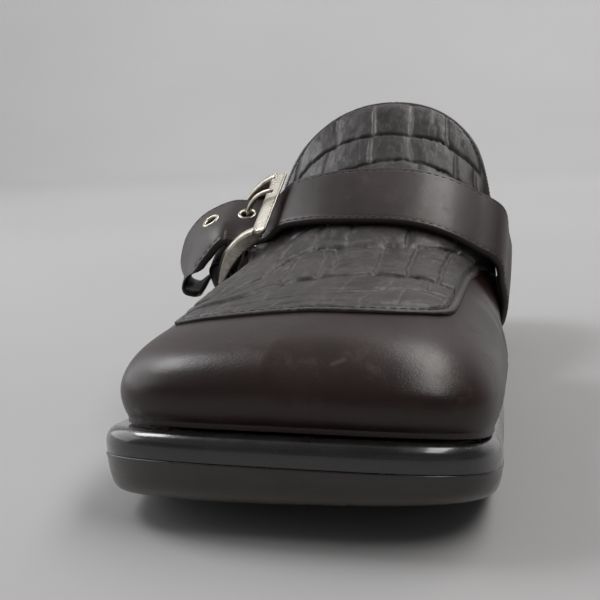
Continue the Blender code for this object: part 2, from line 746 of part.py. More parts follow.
# ---------------------------------------------------------------- buckle
def rail_line(share):
    """(x, lift) of a side rail's middle, from the far bar (0) to the hinge bar (1), arching outwards."""
    start, end = np.array(FAR_BAR), np.array(HINGE_BAR)
    way = end - start
    outward = np.array([way[1], -way[0]]) / np.linalg.norm(way)
    return start + way * share + outward * RAIL_BULGE * math.sin(math.pi * share) ** 0.9


def buckle_middle():
    return strap_middle() + BUCKLE_SIDE


def buckle_point(x, lift, across):
    """strap_frame() with the buckle's skew."""
    return strap_frame(np.asarray(x) + BUCKLE_SKEW * (np.asarray(across) - buckle_middle()), lift, across)


def buckle_way():
    """Unit direction of the buckle's bars."""
    way = buckle_point(0.0, 0.0, 1.0) - buckle_point(0.0, 0.0, 0.0)
    return way / np.linalg.norm(way)


def prism(outline, low, high):
    """Points and faces of an (x, lift) outline carried across the strap from low to high."""
    outline = np.asarray(outline, float)
    ends = [buckle_point(outline[:, 0], outline[:, 1], across) for across in (low, high)]
    count = len(outline)
    faces = grid_faces(2, count, wrap=True) + [tuple(range(count)), tuple(range(count, 2 * count))]
    return np.concatenate(ends), faces


def rail_outline(steps=12):
    """The rail's side view: deep beside the far bar, fine at the hinge bar, round at both ends."""
    shares = np.linspace(0, 1, steps)
    line = np.array([rail_line(s) for s in shares])
    forward = np.gradient(line, axis=0)
    forward /= np.linalg.norm(forward, axis=1)[:, None]
    outward = np.column_stack([forward[:, 1], -forward[:, 0]])
    depth = column(RAIL_COLUMNS, RAIL, "depth")(shares)
    outer = line + outward * depth[:, None] / 2
    inner = line - outward * depth[:, None] / 2
    return np.vstack([outer, inner[::-1]])


def add_buckle(surface):
    """Far bar, two arched side rails and the hinge bar, joined into one casting."""
    middle = buckle_middle()
    half = BUCKLE_LENGTH / 2
    wide, thick = FAR_BAR_SIZE
    tilt = math.radians(-20)
    corners = ((-1, -0.6), (-0.8, -1), (0.8, -1), (1, -0.6), (1, 0.6), (0.8, 1), (-0.8, 1), (-1, 0.6))
    bar = [
        (
            FAR_BAR[0] + a * wide / 2 * math.cos(tilt) - b * thick / 2 * math.sin(tilt),
            FAR_BAR[1] + a * wide / 2 * -math.sin(tilt) + b * thick / 2 * math.cos(tilt),
        )
        for a, b in corners
    ]
    points, faces = prism(bar, middle - half + 0.4, middle + half - 0.4)
    frame = add_object("buckle_frame", points, faces, surface)
    turn = np.arange(12) * math.pi / 6
    pin = [(HINGE_BAR[0] + HINGE_BAR_RADIUS * math.cos(t), HINGE_BAR[1] + HINGE_BAR_RADIUS * math.sin(t)) for t in turn]
    pieces = [("hinge_bar", pin, middle - half + 0.6, middle + half - 0.6)]
    pieces += [("rail_front", rail_outline(), middle - half, middle - half + RAIL_THICK)]
    pieces += [("rail_back", rail_outline(), middle + half - RAIL_THICK, middle + half)]
    for name, outline, low, high in pieces:
        points, faces = prism(outline, low, high)
        piece = add_object(name, points, faces, surface)
        piece.hide_render = True
        piece.display_type = "WIRE"
        joined = frame.modifiers.new(name, "BOOLEAN")
        joined.operation = "UNION"
        joined.solver = "EXACT"
        joined.object = piece
    return frame


def add_prong(surface):
    """A tapered prong, eyed round the hinge bar, up through the strap and over the far bar."""
    middle = buckle_middle()
    hx, hl = HINGE_BAR
    eye = HINGE_BAR_RADIUS + GAP + PRONG_RADIUS
    loop = [(hx + eye * math.cos(a), hl + eye * math.sin(a)) for a in np.radians(np.linspace(95, 335, 14))]
    route = loop + [
        (-44.2, -22.5), (-42.6, -18.6), (-41.4, -15.4), (-40.7, -12.4),
        (-39.2, -9.2), (-36.9, -6.4), (-34.2, -4.7), (-31.2, -3.8),
    ]
    path = smooth_path([(x, lift, 0.0) for x, lift in route], 40)
    points = buckle_point(path[:, 0], path[:, 1], middle + PRONG_SIDE)
    radii = PRONG_RADIUS * (1 - 0.3 * blend(0.6, 1.0, np.linspace(0, 1, len(path))))
    side_way = buckle_way()
    return tube("buckle_prong", points, radii, side_way, surface, sides=10)


def add_chape(surface):
    """The short lateral strap: up the wall from the feather edge and round the hinge bar, slotted for the prong."""
    middle = buckle_middle()
    hx, hl = HINGE_BAR
    thick = 2.0
    eye = HINGE_BAR_RADIUS + GAP + thick / 2
    loop = [(hx + eye * math.cos(a), hl + eye * math.sin(a)) for a in np.radians(np.linspace(-40, 190, 14))]
    route = [(-45.7, -34.5)] + loop + [
        (-50.3, -32.0), (-48.5, -37.5), (-46.7, -41.5), (-45.3, -45.0), (-44.0, -50.0), (-42.4, -54.5), (-40.8, -58.5),
    ]
    path = smooth_path([(x, lift, 0.0) for x, lift in route], 40)
    points = buckle_point(path[:, 0], path[:, 1], middle)
    forward = np.gradient(points, axis=0)
    forward /= np.linalg.norm(forward, axis=1)[:, None]
    way = np.tile(buckle_way(), (len(points), 1))
    normal = np.cross(way, forward)
    inside = BUCKLE_LENGTH / 2 - RAIL_THICK - GAP
    obj = ribbon("chape", points, way, normal, [inside - 0.6] * len(points), thick, surface, chamfer=0.4)
    slot = PRONG_RADIUS + 0.8
    outline = [(hx - 6, hl + 6), (hx - 6, hl - 4.4), (hx + 8, hl - 4.4), (hx + 8, hl + 6)]
    cut(obj, *prism(outline, middle + PRONG_SIDE - slot, middle + PRONG_SIDE + slot), "prong_slot")
    trim_foot(obj, CHAPE_FOOT, (-60, -30), "chape_foot")
    return obj


def main():
    smooth_leather = material("smooth_leather", (0.045, 0.026, 0.022), 0.34)
    embossed_leather = material("embossed_leather", (0.075, 0.058, 0.054), 0.48)
    sole_rubber = material("sole_rubber", (0.030, 0.026, 0.024), 0.42)
    welt_black = material("welt_black", (0.018, 0.016, 0.017), 0.22)
    heel_black = material("heel_black", (0.022, 0.018, 0.017), 0.35)
    tan_sock = material("tan_sock", (0.52, 0.37, 0.23), 0.62)
    nickel = material("aged_nickel", (0.62, 0.57, 0.47), 0.30, 1.0)

    add_outsole(sole_rubber)
    add_midsole(welt_black)
    add_heel(heel_black)
    add_insole(tan_sock)
    add_upper(smooth_leather)
    add_plug(embossed_leather)
    add_strap(smooth_leather)
    add_eyelets(nickel)
    add_buckle(nickel)
    add_prong(nickel)
    add_chape(smooth_leather)


main()
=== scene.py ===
"""Looks of a right-foot loafer mule: smooth and embossed leather, a buckled strap and a two-band rubber sole.

Shapes are worked out in shoemaker's millimetres, as the part's own source has them: x runs from the lateral
side (minus) to the medial side (plus), "along" runs from the toe back to the heel, height is measured from
the floor. place() turns that into the frame's metres.
"""

import math

import bmesh
import bpy
import numpy as np
from mathutils import Matrix


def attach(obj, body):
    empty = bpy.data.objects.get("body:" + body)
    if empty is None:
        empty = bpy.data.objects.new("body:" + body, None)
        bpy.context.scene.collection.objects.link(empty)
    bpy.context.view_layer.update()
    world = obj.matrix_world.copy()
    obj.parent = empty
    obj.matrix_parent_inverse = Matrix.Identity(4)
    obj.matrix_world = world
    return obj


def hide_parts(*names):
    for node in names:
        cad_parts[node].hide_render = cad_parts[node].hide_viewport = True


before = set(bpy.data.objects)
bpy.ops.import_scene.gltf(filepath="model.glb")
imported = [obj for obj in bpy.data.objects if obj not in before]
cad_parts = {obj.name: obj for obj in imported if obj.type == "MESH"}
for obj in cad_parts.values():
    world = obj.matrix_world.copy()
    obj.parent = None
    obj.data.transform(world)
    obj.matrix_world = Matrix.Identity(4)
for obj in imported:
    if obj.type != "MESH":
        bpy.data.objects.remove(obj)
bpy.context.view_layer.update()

# ---------------------------------------------------------------- sizes, millimetres
# They are the part's own, apart from the plug's outline: its medial edge lies further in here, with a rounder
# corner. In a table the first column is the place along the foot; a dict holds lateral (-1) and medial (1).
MM = 0.001
LENGTH = 262.0
MIDDLE_X = -11.2
GAP = 0.3
TOE_DEPTH = 34.0
TOE_SQUARE = 3.8
HEEL_DEPTH = 36.0
HEEL_SQUARE = 2.15
OUTSOLE_THICK = 8.5
MIDSOLE_THICK = 7.0
INSOLE_THICK = 3.0
UPPER_WALL = 2.2
PLUG_THICK = 1.6
STRAP_THICK = 2.2
STRAP_WIDTH = 26.0
STRAP_TILT = 33.5
STRAP_SKEW = 1.8
GIRTH_FRONT = 2.5
FEATHER_INSIDE = 2.0
TUCK = 2.2
TUCK_HEIGHT = 9.0
RIB_SQUARE = 3.5
TOE_SLOPE = 0.18
FALL_MEDIAL = 0.9
TWIST = 2.6
HEEL_BREAST = 192.0
HEEL_RAKE = 6.0
HEEL_TAPER = 3.0
COLLAR_RIDGE = 125.0
COLLAR_SOLE = 160.0

SOLE_COLUMNS = ("along", "lateral", "medial", "underside")
SOLE = (
    (0.0, 47.5, 43.8, 9.0),
    (20.0, 47.8, 43.8, 4.9),
    (45.0, 49.0, 42.4, 1.4),
    (66.0, 50.1, 41.5, 0.0),
    (86.0, 50.1, 40.4, 0.0),
    (105.0, 48.4, 38.2, 1.6),
    (130.0, 43.7, 32.4, 7.6),
    (160.0, 37.5, 27.8, 19.5),
    (190.0, 34.3, 29.0, 29.6),
    (225.0, 33.6, 31.6, 35.2),
    (262.0, 33.0, 31.0, 37.5),
)
UPPER_COLUMNS = ("along", "lateral", "medial", "ridge", "crown", "shoulder", "fall")
UPPER = (
    (0.0, 44.6, 43.6, 43.6, 3.6, 2.8, 0.20),
    (34.0, 45.4, 43.6, 45.6, 4.0, 3.2, 0.20),
    (60.0, 47.0, 43.0, 47.4, 4.0, 3.2, 0.14),
    (82.0, 48.4, 41.8, 49.6, 3.6, 2.8, 0.07),
    (94.0, 48.2, 40.8, 52.4, 2.9, 2.3, 0.02),
    (102.0, 47.4, 40.0, 56.6, 2.5, 2.0, 0.0),
    (125.0, 44.0, 38.0, 71.4, 2.4, 2.0, 0.0),
    (150.0, 39.0, 34.6, 92.4, 2.4, 2.0, 0.0),
    (165.0, 36.4, 32.0, 100.0, 2.4, 2.0, 0.0),
)
PLUG_COLUMNS = ("along", "lateral", "medial")
PLUG = (
    (32.0, 37.0, 29.4),
    (60.0, 36.4, 31.2),
    (88.0, 35.4, 31.2),
    (102.0, 34.6, 31.4),
    (122.0, 34.8, 35.4),
    (152.0, 35.2, 36.4),
)
PLUG_FRONT = 31.0
PLUG_CORNER = {-1: 13.0, 1: 18.0}
PLUG_SQUARE = {-1: 5.0, 1: 2.2}
TONGUE_TOP = 152.0
TONGUE_ROUND = 36.0
TONGUE_SQUARE = 2.2
TONGUE_DROP = 7.5
TONGUE_HALF = 34.0
TONGUE_FROM = 117.0
TONGUE_FREE = 140.0
# The strap's free end, past the buckle: x, along, height, tilt in degrees, width.
STRAP_END = (
    (-33.2, 113.6, 59.0, 32.0, 22.6),
    (-41.3, 114.2, 58.6, 28.0, 22.4),
    (-47.5, 114.0, 58.8, 25.0, 22.8),
    (-53.2, 112.8, 56.0, 22.0, 24.2),
    (-57.4, 111.4, 50.7, 20.0, 24.6),
    (-59.6, 110.4, 45.4, 18.5, 24.0),
    (-59.8, 109.7, 41.2, 17.5, 23.0),
    (-58.2, 109.4, 38.6, 17.0, 21.5),
    (-55.9, 109.3, 37.8, 17.0, 18.0),
    (-54.2, 109.3, 37.8, 17.0, 14.0),
)
STRAP_TURN = 0.4
EYELET_SPACING = 11.0
EYELET_SIDE = 2.0
EYELET_HOLE = 2.1
EYELET_FLANGE = 3.1
BUCKLE_LENGTH = 30.0
BUCKLE_SIDE = -1.2
BUCKLE_SKEW = 0.035
RAIL_THICK = 2.9
FAR_BAR = (-32.5, -7.4)
HINGE_BAR = (-48.1, -27.0)
FAR_BAR_SIZE = (5.4, 3.0)
HINGE_BAR_RADIUS = 1.3
RAIL_BULGE = 2.3
RAIL_COLUMNS = ("share", "depth")
RAIL = ((0.0, 3.9), (0.22, 5.2), (0.5, 5.0), (0.85, 3.4), (1.0, 2.4))
PRONG_RADIUS = 1.0
PRONG_SIDE = 2.6

# Sizes of the looks alone. FLEX_FROM is where the shell's ribs start to lean back towards the collar,
# STRAP_ROOT where strap and chape go down into the sole. A seam's size is how far it lies in from its edge.
FLEX_FROM = 92.0
STRAP_ROOT = 112.0
HEEL_TALL = 32.0
SOCK_SEAM = 4.2
COLLAR_SEAM = 3.0
STRAP_SEAM = 1.6
PLUG_SEAM, TONGUE_SEAM = 2.3, 1.3
PLUG_LIFT = 0.12
PLUG_LEATHER = 1.25


# ---------------------------------------------------------------- tables and frames
def column(columns, rows, name):
    """A smooth curve through one column of a table, without overshoot, held level past its ends."""
    at = np.array([row[0] for row in rows])
    value = np.array([row[columns.index(name)] for row in rows])
    step = np.diff(at)
    slope = np.diff(value) / step
    tangent = np.zeros(len(at))
    rising = slope[:-1] * slope[1:] > 0
    tangent[1:-1][rising] = 2 * slope[:-1][rising] * slope[1:][rising] / (slope[:-1] + slope[1:])[rising]
    tangent[0], tangent[-1] = slope[0], slope[-1]

    def curve(where):
        where = np.clip(np.asarray(where, float), at[0], at[-1])
        i = np.clip(np.searchsorted(at, where, side="right") - 1, 0, len(step) - 1)
        t = (where - at[i]) / step[i]
        return (
            (2 * t**3 - 3 * t**2 + 1) * value[i]
            + (t**3 - 2 * t**2 + t) * step[i] * tangent[i]
            + (3 * t**2 - 2 * t**3) * value[i + 1]
            + (t**3 - t**2) * step[i] * tangent[i + 1]
        )

    return curve


SOLE_EDGE = {-1: column(SOLE_COLUMNS, SOLE, "lateral"), 1: column(SOLE_COLUMNS, SOLE, "medial")}
UNDERSIDE = column(SOLE_COLUMNS, SOLE, "underside")
GIRTH = {-1: column(UPPER_COLUMNS, UPPER, "lateral"), 1: column(UPPER_COLUMNS, UPPER, "medial")}
RIDGE = column(UPPER_COLUMNS, UPPER, "ridge")
CROWN = column(UPPER_COLUMNS, UPPER, "crown")
SHOULDER = column(UPPER_COLUMNS, UPPER, "shoulder")
FALL = column(UPPER_COLUMNS, UPPER, "fall")
PLUG_EDGE = {-1: column(PLUG_COLUMNS, PLUG, "lateral"), 1: column(PLUG_COLUMNS, PLUG, "medial")}


def blend(low, high, value):
    """0 below low, 1 above high, easing between."""
    t = np.clip((np.asarray(value, float) - low) / (high - low), 0, 1)
    return t * t * (3 - 2 * t)


def bell(value, width):
    """1 where the value is 0, falling away over about the width to both sides."""
    return np.exp(-((value / width) ** 2))


def place(points):
    """Shoemaker's millimetres to the frame's metres."""
    out = np.array(points, float)
    out[..., 0] -= MIDDLE_X
    out[..., 1] -= LENGTH / 2
    return out * MM


def unit(vectors):
    size = np.linalg.norm(vectors, axis=-1, keepdims=True)
    return vectors / np.where(size < 1e-12, 1, size)


def strap_frame(x, lift, across):
    """Points from the strap's tilted frame: x, lift off the foot, place across the strap."""
    lean = math.radians(STRAP_TILT)
    x, lift, across = np.broadcast_arrays(*(np.asarray(v, float) for v in (x, lift, across)))
    along = across * math.cos(lean) - lift * math.sin(lean)
    height = across * math.sin(lean) + lift * math.cos(lean)
    return np.stack([x, along, height], axis=-1)


def to_strap_frame(points):
    lean = math.radians(STRAP_TILT)
    points = np.asarray(points, float)
    lift = points[..., 2] * math.cos(lean) - points[..., 1] * math.sin(lean)
    across = points[..., 1] * math.cos(lean) + points[..., 2] * math.sin(lean)
    return points[..., 0], lift, across


NOISE_TABLE = 4096
NOISE_STEPS = (73, 911, 1931)


def soft_noise(points, scale, seed, octaves):
    """Smooth seeded noise about -1 to 1 at (..., n) points, features about scale across."""
    total = np.zeros(points.shape[:-1])
    strength = 1.0
    for octave in range(octaves):
        table = np.random.default_rng(seed + octave).uniform(-1, 1, NOISE_TABLE)
        where = points / scale
        cell = np.floor(where).astype(int)
        t = where - cell
        t = t * t * (3 - 2 * t)
        value = np.zeros(points.shape[:-1])
        dims = points.shape[-1]
        for corner in range(2**dims):
            bits = [(corner >> k) & 1 for k in range(dims)]
            key = sum((cell[..., k] + bits[k]) * NOISE_STEPS[k] for k in range(dims)) % NOISE_TABLE
            weight = np.prod([t[..., k] if bits[k] else 1 - t[..., k] for k in range(dims)], axis=0)
            value += weight * table[key]
        total += strength * value
        strength *= 0.5
        scale *= 0.5
    return total


# ---------------------------------------------------------------- mesh helpers
def grid_faces(rows, cols, wrap=False, start=0):
    last = cols if wrap else cols - 1
    r, c = np.meshgrid(np.arange(rows - 1), np.arange(last), indexing="ij")
    n = (c + 1) % cols
    quads = np.stack([r * cols + c, r * cols + n, (r + 1) * cols + n, (r + 1) * cols + c], axis=-1)
    return (quads.reshape(-1, 4) + start).tolist()


def tube_faces(rows, cols, start=0):
    """Faces of a tube of closed rings, with a flat cap at both ends."""
    last = start + (rows - 1) * cols
    caps = [tuple(range(start, start + cols)), tuple(range(last, last + cols))]
    return grid_faces(rows, cols, wrap=True, start=start) + caps


def full_turn(sides):
    return np.arange(sides) * 2 * math.pi / sides


def circle_round(axis, across, sides):
    """A circle of radius 1 about the origin, square to an axis."""
    turn = full_turn(sides)
    side = unit(np.cross(axis, across))
    return np.outer(np.cos(turn), np.cross(side, axis)) + np.outer(np.sin(turn), side)


def linked(name, data):
    obj = bpy.data.objects.new(name, data)
    bpy.context.scene.collection.objects.link(obj)
    return obj


def closed_object(name, points, faces):
    """A bare closed mesh with its normals outward."""
    mesh = bpy.data.meshes.new(name)
    mesh.from_pydata(place(points).tolist(), [], faces)
    built = bmesh.new()
    built.from_mesh(mesh)
    bmesh.ops.recalc_face_normals(built, faces=built.faces)
    built.to_mesh(mesh)
    built.free()
    return linked(name, mesh)


def add_object(name, points, faces, surfaces, slots=None, values=None, sharp=60):
    """One visible piece. values: {attribute name: one number per point}."""
    mesh = bpy.data.meshes.new(name)
    mesh.from_pydata(place(points).tolist(), [], faces)
    for surface in surfaces:
        mesh.materials.append(surface)
    if slots is not None:
        mesh.polygons.foreach_set("material_index", np.asarray(slots, dtype=np.int32))
    for key, numbers in (values or {}).items():
        attribute = mesh.attributes.new(key, "FLOAT", "POINT")
        attribute.data.foreach_set("value", np.asarray(numbers, dtype=np.float32).ravel())
    built = bmesh.new()
    built.from_mesh(mesh)
    bmesh.ops.remove_doubles(built, verts=built.verts, dist=2e-6)
    bmesh.ops.dissolve_degenerate(built, edges=built.edges, dist=1e-7)
    bmesh.ops.recalc_face_normals(built, faces=built.faces)
    built.to_mesh(mesh)
    built.free()
    mesh.shade_smooth()
    mesh.set_sharp_from_angle(angle=math.radians(sharp))
    obj = linked(name, mesh)
    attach(obj, "root")
    return obj


def run(points):
    """Length along a line up to each of its points."""
    return np.concatenate([[0], np.cumsum(np.linalg.norm(np.diff(points, axis=0), axis=1))])


def read_at(at, length, field):
    """Rows of a field that belongs to a line, read at a length along it or at several."""
    return np.stack([np.interp(at, length, field[:, k]) for k in range(field.shape[1])], axis=-1)


def even(points, count):
    """The same line at count points, evenly spaced."""
    length = run(points[:, :3])
    return read_at(np.linspace(0, length[-1], count), length, points)


def smooth_path(points, count):
    """A Catmull-Rom curve through the points, as count points at even spacing."""
    points = np.asarray(points, float)
    padded = np.vstack([2 * points[0] - points[1], points, 2 * points[-1] - points[-2]])
    t = np.linspace(0, 1, 24, endpoint=False)[:, None]
    dense = [
        0.5 * (2 * b + (c - a) * t + (2 * a - 5 * b + 4 * c - d) * t**2 + (3 * b - a - 3 * c + d) * t**3)
        for a, b, c, d in zip(padded, padded[1:], padded[2:], padded[3:])
    ]
    return even(np.vstack(dense + [points[-1:]]), count)


def grid_normals(grid):
    """Unit normals of a grid of points, (rows, cols, 3)."""
    return unit(np.cross(np.gradient(grid, axis=0), np.gradient(grid, axis=1)))


def crowded(count, edge):
    """0 to 1 in count steps, closer together near both ends. edge is the share of steps spent there."""
    t = np.linspace(0, 1, count)
    return (1 - edge) * t + edge * (0.5 - 0.5 * np.sign(0.5 - t) * np.abs(1 - 2 * t) ** (1 / 2.2))


def rim(distance, radius):
    """How far a rounded rim falls below the face at a distance in from the edge."""
    t = np.clip(distance / radius, 0, 1)
    return radius * (1 - np.sqrt(np.clip(1 - (1 - t) ** 2, 0, 1)))


def solid_from(outer, inner, sides):
    """Points and faces of a solid between two grids. sides: which borders are walled."""
    rows, cols = outer.shape[:2]
    many = rows * cols
    faces = grid_faces(rows, cols)
    faces += [face[::-1] for face in grid_faces(rows, cols, start=many)]
    borders = {
        "first_row": [(0, c) for c in range(cols)],
        "last_row": [(rows - 1, c) for c in range(cols)],
        "first_col": [(r, 0) for r in range(rows)],
        "last_col": [(r, cols - 1) for r in range(rows)],
    }
    for side in sides:
        line = [r * cols + c for r, c in borders[side]]
        faces += [(a, b, b + many, a + many) for a, b in zip(line, line[1:])]
    return np.concatenate([outer.reshape(-1, 3), inner.reshape(-1, 3)]), faces


def thin_under(outer, inner, every):
    """Like solid_from, with the inner grid only every so many columns, to save faces nobody sees."""
    rows, cols = outer.shape[:2]
    kept = inner[:, ::every]
    many, few = rows * cols, kept.shape[1]
    faces = grid_faces(rows, cols)
    under = [face[::-1] for face in grid_faces(rows, few, start=many)]
    walls = []
    for r in (0, rows - 1):
        for k in range(few - 1):
            top = [r * cols + c for c in range(k * every, (k + 1) * every + 1)]
            walls.append((*top, many + r * few + k + 1, many + r * few + k))
    for c, k in ((0, 0), (cols - 1, few - 1)):
        for r in range(rows - 1):
            a, b = r * cols + c, (r + 1) * cols + c
            walls.append((a, b, many + (r + 1) * few + k, many + r * few + k))
    return np.concatenate([outer.reshape(-1, 3), kept.reshape(-1, 3)]), faces, under, walls


def near_line(points, line):
    """Distance from each point to a polyline."""
    best = np.full(points.shape[:-1], 1e9)
    for a, b in zip(line, line[1:]):
        way = b - a
        t = np.clip(((points - a) @ way) / (way @ way), 0, 1)
        best = np.minimum(best, np.linalg.norm(points - (a + t[..., None] * way), axis=-1))
    return best


def crease(away, depth, width, bank=0.35, offset=2.0):
    """A trough with a low bank beside it, at a distance away from its line."""
    return bank * depth * bell(away - offset * width, width) - depth * bell(away, width)


# One stitch from end to end: place by its length, girth and height by its thread.
STITCH_REACH = (-0.5, -0.43, -0.25, 0.0, 0.25, 0.43, 0.5)
STITCH_GIRTH = (0.35, 0.8, 1.0, 1.0, 1.0, 0.8, 0.35)
STITCH_RISE = (-3.4 / 3, -1.4 / 3, 0.0, 0.1, 0.0, -1.4 / 3, -3.4 / 3)
STITCH_SIDES = 8


def stitches(name, line, normals, surface, pitch, thick, long=2.2, rise=0.12):
    """A row of thread stitches lying along a line on a face."""
    line = np.asarray(line, float)
    length = run(line)
    count = max(2, int(length[-1] / pitch))
    middles = (np.arange(count) + 0.5) * length[-1] / count
    turn = full_turn(STITCH_SIDES)
    points, faces = [], []
    for middle in middles:
        faces += tube_faces(len(STITCH_REACH), STITCH_SIDES, start=len(points) * STITCH_SIDES)
        for reach, girth, height in zip(STITCH_REACH, STITCH_GIRTH, STITCH_RISE):
            at = middle + reach * long
            ahead = unit(read_at(at + 0.3, length, line) - read_at(at - 0.3, length, line))
            up = unit(read_at(at, length, normals))
            side = unit(np.cross(up, ahead))
            centre = read_at(at, length, line) + up * (rise + height * thick)
            ring = np.outer(np.cos(turn), side) + np.outer(np.sin(turn) * 0.8, up)
            points.append(centre + girth * thick * ring)
    return add_object(name, np.concatenate(points), faces, [surface])


# ---------------------------------------------------------------- materials
class Surface:
    """A Principled material with short helpers for its nodes."""

    def __init__(self, name, **constants):
        self.material = bpy.data.materials.new(name)
        self.material.use_nodes = True
        self.tree = self.material.node_tree
        self.shader = self.tree.nodes["Principled BSDF"]
        for key, value in constants.items():
            self.shader.inputs[key.replace("_", " ")].default_value = value
        self.where = self.node("ShaderNodeTexCoord").outputs["Object"]

    def node(self, kind, **settings):
        made = self.tree.nodes.new(kind)
        for key, value in settings.items():
            setattr(made, key, value)
        return made

    def link(self, source, target):
        self.tree.links.new(source, target)

    def stretched(self, scale):
        made = self.node("ShaderNodeMapping")
        made.inputs["Scale"].default_value = scale
        self.link(self.where, made.inputs["Vector"])
        return made.outputs["Vector"]

    def noise(self, scale, detail=4.0, rough=0.55, vector=None, distortion=0.0):
        made = self.node("ShaderNodeTexNoise")
        made.inputs["Scale"].default_value = scale
        made.inputs["Detail"].default_value = detail
        made.inputs["Roughness"].default_value = rough
        made.inputs["Distortion"].default_value = distortion
        self.link(vector or self.where, made.inputs["Vector"])
        return made.outputs["Fac"]

    def cells(self, scale):
        made = self.node("ShaderNodeTexVoronoi")
        made.inputs["Scale"].default_value = scale
        self.link(self.where, made.inputs["Vector"])
        return made.outputs["Distance"]

    def attribute(self, name):
        made = self.node("ShaderNodeAttribute")
        made.attribute_name = name
        return made.outputs["Fac"]

    def ranged(self, value, low, high, to_low=0.0, to_high=1.0):
        made = self.node("ShaderNodeMapRange")
        for key, number in (("From Min", low), ("From Max", high), ("To Min", to_low), ("To Max", to_high)):
            made.inputs[key].default_value = number
        self.link(value, made.inputs["Value"])
        return made.outputs["Result"]

    def math(self, kind, a, b):
        made = self.node("ShaderNodeMath", operation=kind)
        for slot, value in zip(made.inputs, (a, b)):
            if isinstance(value, (int, float)):
                slot.default_value = value
            else:
                self.link(value, slot)
        return made.outputs[0]

    def mix(self, share, a, b):
        made = self.node("ShaderNodeMix", data_type="RGBA")
        self.link(share, made.inputs["Factor"])
        for slot, value in ((made.inputs[6], a), (made.inputs[7], b)):
            if isinstance(value, tuple):
                slot.default_value = (*value, 1.0)
            else:
                self.link(value, slot)
        return made.outputs[2]

    def bump(self, height, distance, strength, under=None):
        made = self.node("ShaderNodeBump")
        made.inputs["Strength"].default_value = strength
        made.inputs["Distance"].default_value = distance
        self.link(height, made.inputs["Height"])
        if under is not None:
            self.link(under, made.inputs["Normal"])
        return made.outputs["Normal"]

    def finish(self, colour, roughness, normal):
        for key, value in (("Base Color", colour), ("Roughness", roughness), ("Normal", normal)):
            self.link(value, self.shader.inputs[key])
        return self.material


def smooth_leather(name, dark, light, rough, gloss=0.5):
    """Finished calf: fine pores, cloudy polish, faint rubbed patches."""
    s = Surface(name, Specular_IOR_Level=gloss, Coat_Weight=0.03, Coat_Roughness=0.25)
    cloud = s.ranged(s.noise(38.0, 5.0, 0.6), 0.35, 0.68)
    rubbed_and_sheen = s.ranged(s.noise(160.0, 6.0, 0.7, distortion=0.6), 0.56, 0.74)
    colour = s.mix(cloud, dark, light)
    colour = s.mix(s.math("MULTIPLY", rubbed_and_sheen, 0.35), colour, tuple(min(1.0, 2.2 * c + 0.01) for c in light))
    colour = s.mix(s.attribute("worn"), colour, (0.16, 0.135, 0.12))
    roughness = s.math("ADD", s.ranged(cloud, 0, 1, *rough), s.math("MULTIPLY", rubbed_and_sheen, 0.12))
    normal = s.bump(s.ranged(s.cells(1500.0), 0.0, 0.42), 0.00005, 0.35)
    normal = s.bump(s.noise(420.0, 4.0, 0.6), 0.00012, 0.35, under=normal)
    return s.finish(colour, roughness, normal)


def embossed_leather(name, low, high, groove):
    """Reptile-embossed leather: polished cells, dull paler grooves, hair-fine wrinkles across the cells."""
    s = Surface(name, Specular_IOR_Level=0.44)
    cloud = s.ranged(s.noise(70.0, 5.0, 0.6), 0.35, 0.68)
    pale = s.attribute("pale")
    colour = s.mix(cloud, low, high)
    hairs = s.noise(520.0, 5.0, 0.7, vector=s.stretched((1.0, 0.3, 0.5)), distortion=0.9)
    colour = s.mix(s.ranged(hairs, 0.52, 0.72, 0.0, 0.42), colour, groove)
    colour = s.mix(s.math("MULTIPLY", pale, 0.75), colour, groove)
    # Painted shade: the dark attribute blacks out the crack at each row's front step. On the plug it also
    # darkens the cut edge and the seam line.
    colour = s.mix(s.attribute("dark"), colour, (0.006, 0.005, 0.0045))
    colour = s.mix(s.attribute("worn"), colour, (0.2, 0.17, 0.15))
    roughness = s.math("ADD", s.ranged(cloud, 0, 1, 0.36, 0.48), s.math("MULTIPLY", pale, 0.15))
    normal = s.bump(hairs, 0.00028, 0.55)
    normal = s.bump(s.ranged(s.cells(1900.0), 0.0, 0.4), 0.00004, 0.35, under=normal)
    return s.finish(colour, roughness, normal)


def lining_leather(name, dark, light):
    """Undyed lining: matt, faintly napped, darker where the foot has been."""
    s = Surface(name, Specular_IOR_Level=0.3, Sheen_Weight=0.15, Sheen_Roughness=0.5)
    cloud = s.ranged(s.noise(30.0, 6.0, 0.65), 0.32, 0.7)
    colour = s.mix(cloud, light, dark)
    fibre = s.noise(900.0, 4.0, 0.6)
    colour = s.mix(s.math("MULTIPLY", fibre, 0.25), colour, tuple(0.7 * c for c in dark))
    normal = s.bump(fibre, 0.00008, 0.5)
    return s.finish(colour, s.ranged(cloud, 0, 1, 0.55, 0.72), normal)


def sole_surface(name, dark, light, rough, gloss):
    """Moulded rubber edge: faint horizontal drag marks and dull, dusty patches."""
    s = Surface(name, Specular_IOR_Level=0.5, Coat_Weight=gloss, Coat_Roughness=0.12)
    drag = s.noise(9.0, 5.0, 0.65, vector=s.stretched((6.0, 6.0, 60.0)))
    dust = s.ranged(s.noise(90.0, 6.0, 0.7), 0.48, 0.78)
    colour = s.mix(s.ranged(drag, 0.35, 0.7), dark, light)
    colour = s.mix(s.math("MULTIPLY", dust, 0.3), colour, tuple(min(1.0, 1.8 * c + 0.012) for c in light))
    # Painted reflection: on the lower band this pales the bottom rim and the lateral front corner, as the
    # floor's light would.
    colour = s.mix(s.attribute("rubbed_and_sheen"), colour, (0.11, 0.098, 0.08))
    roughness = s.math("ADD", s.ranged(drag, 0.3, 0.7, *rough), s.math("MULTIPLY", dust, 0.16))
    normal = s.bump(drag, 0.00007, 0.4)
    normal = s.bump(s.noise(1400.0, 3.0, 0.6), 0.00003, 0.3, under=normal)
    return s.finish(colour, roughness, normal)


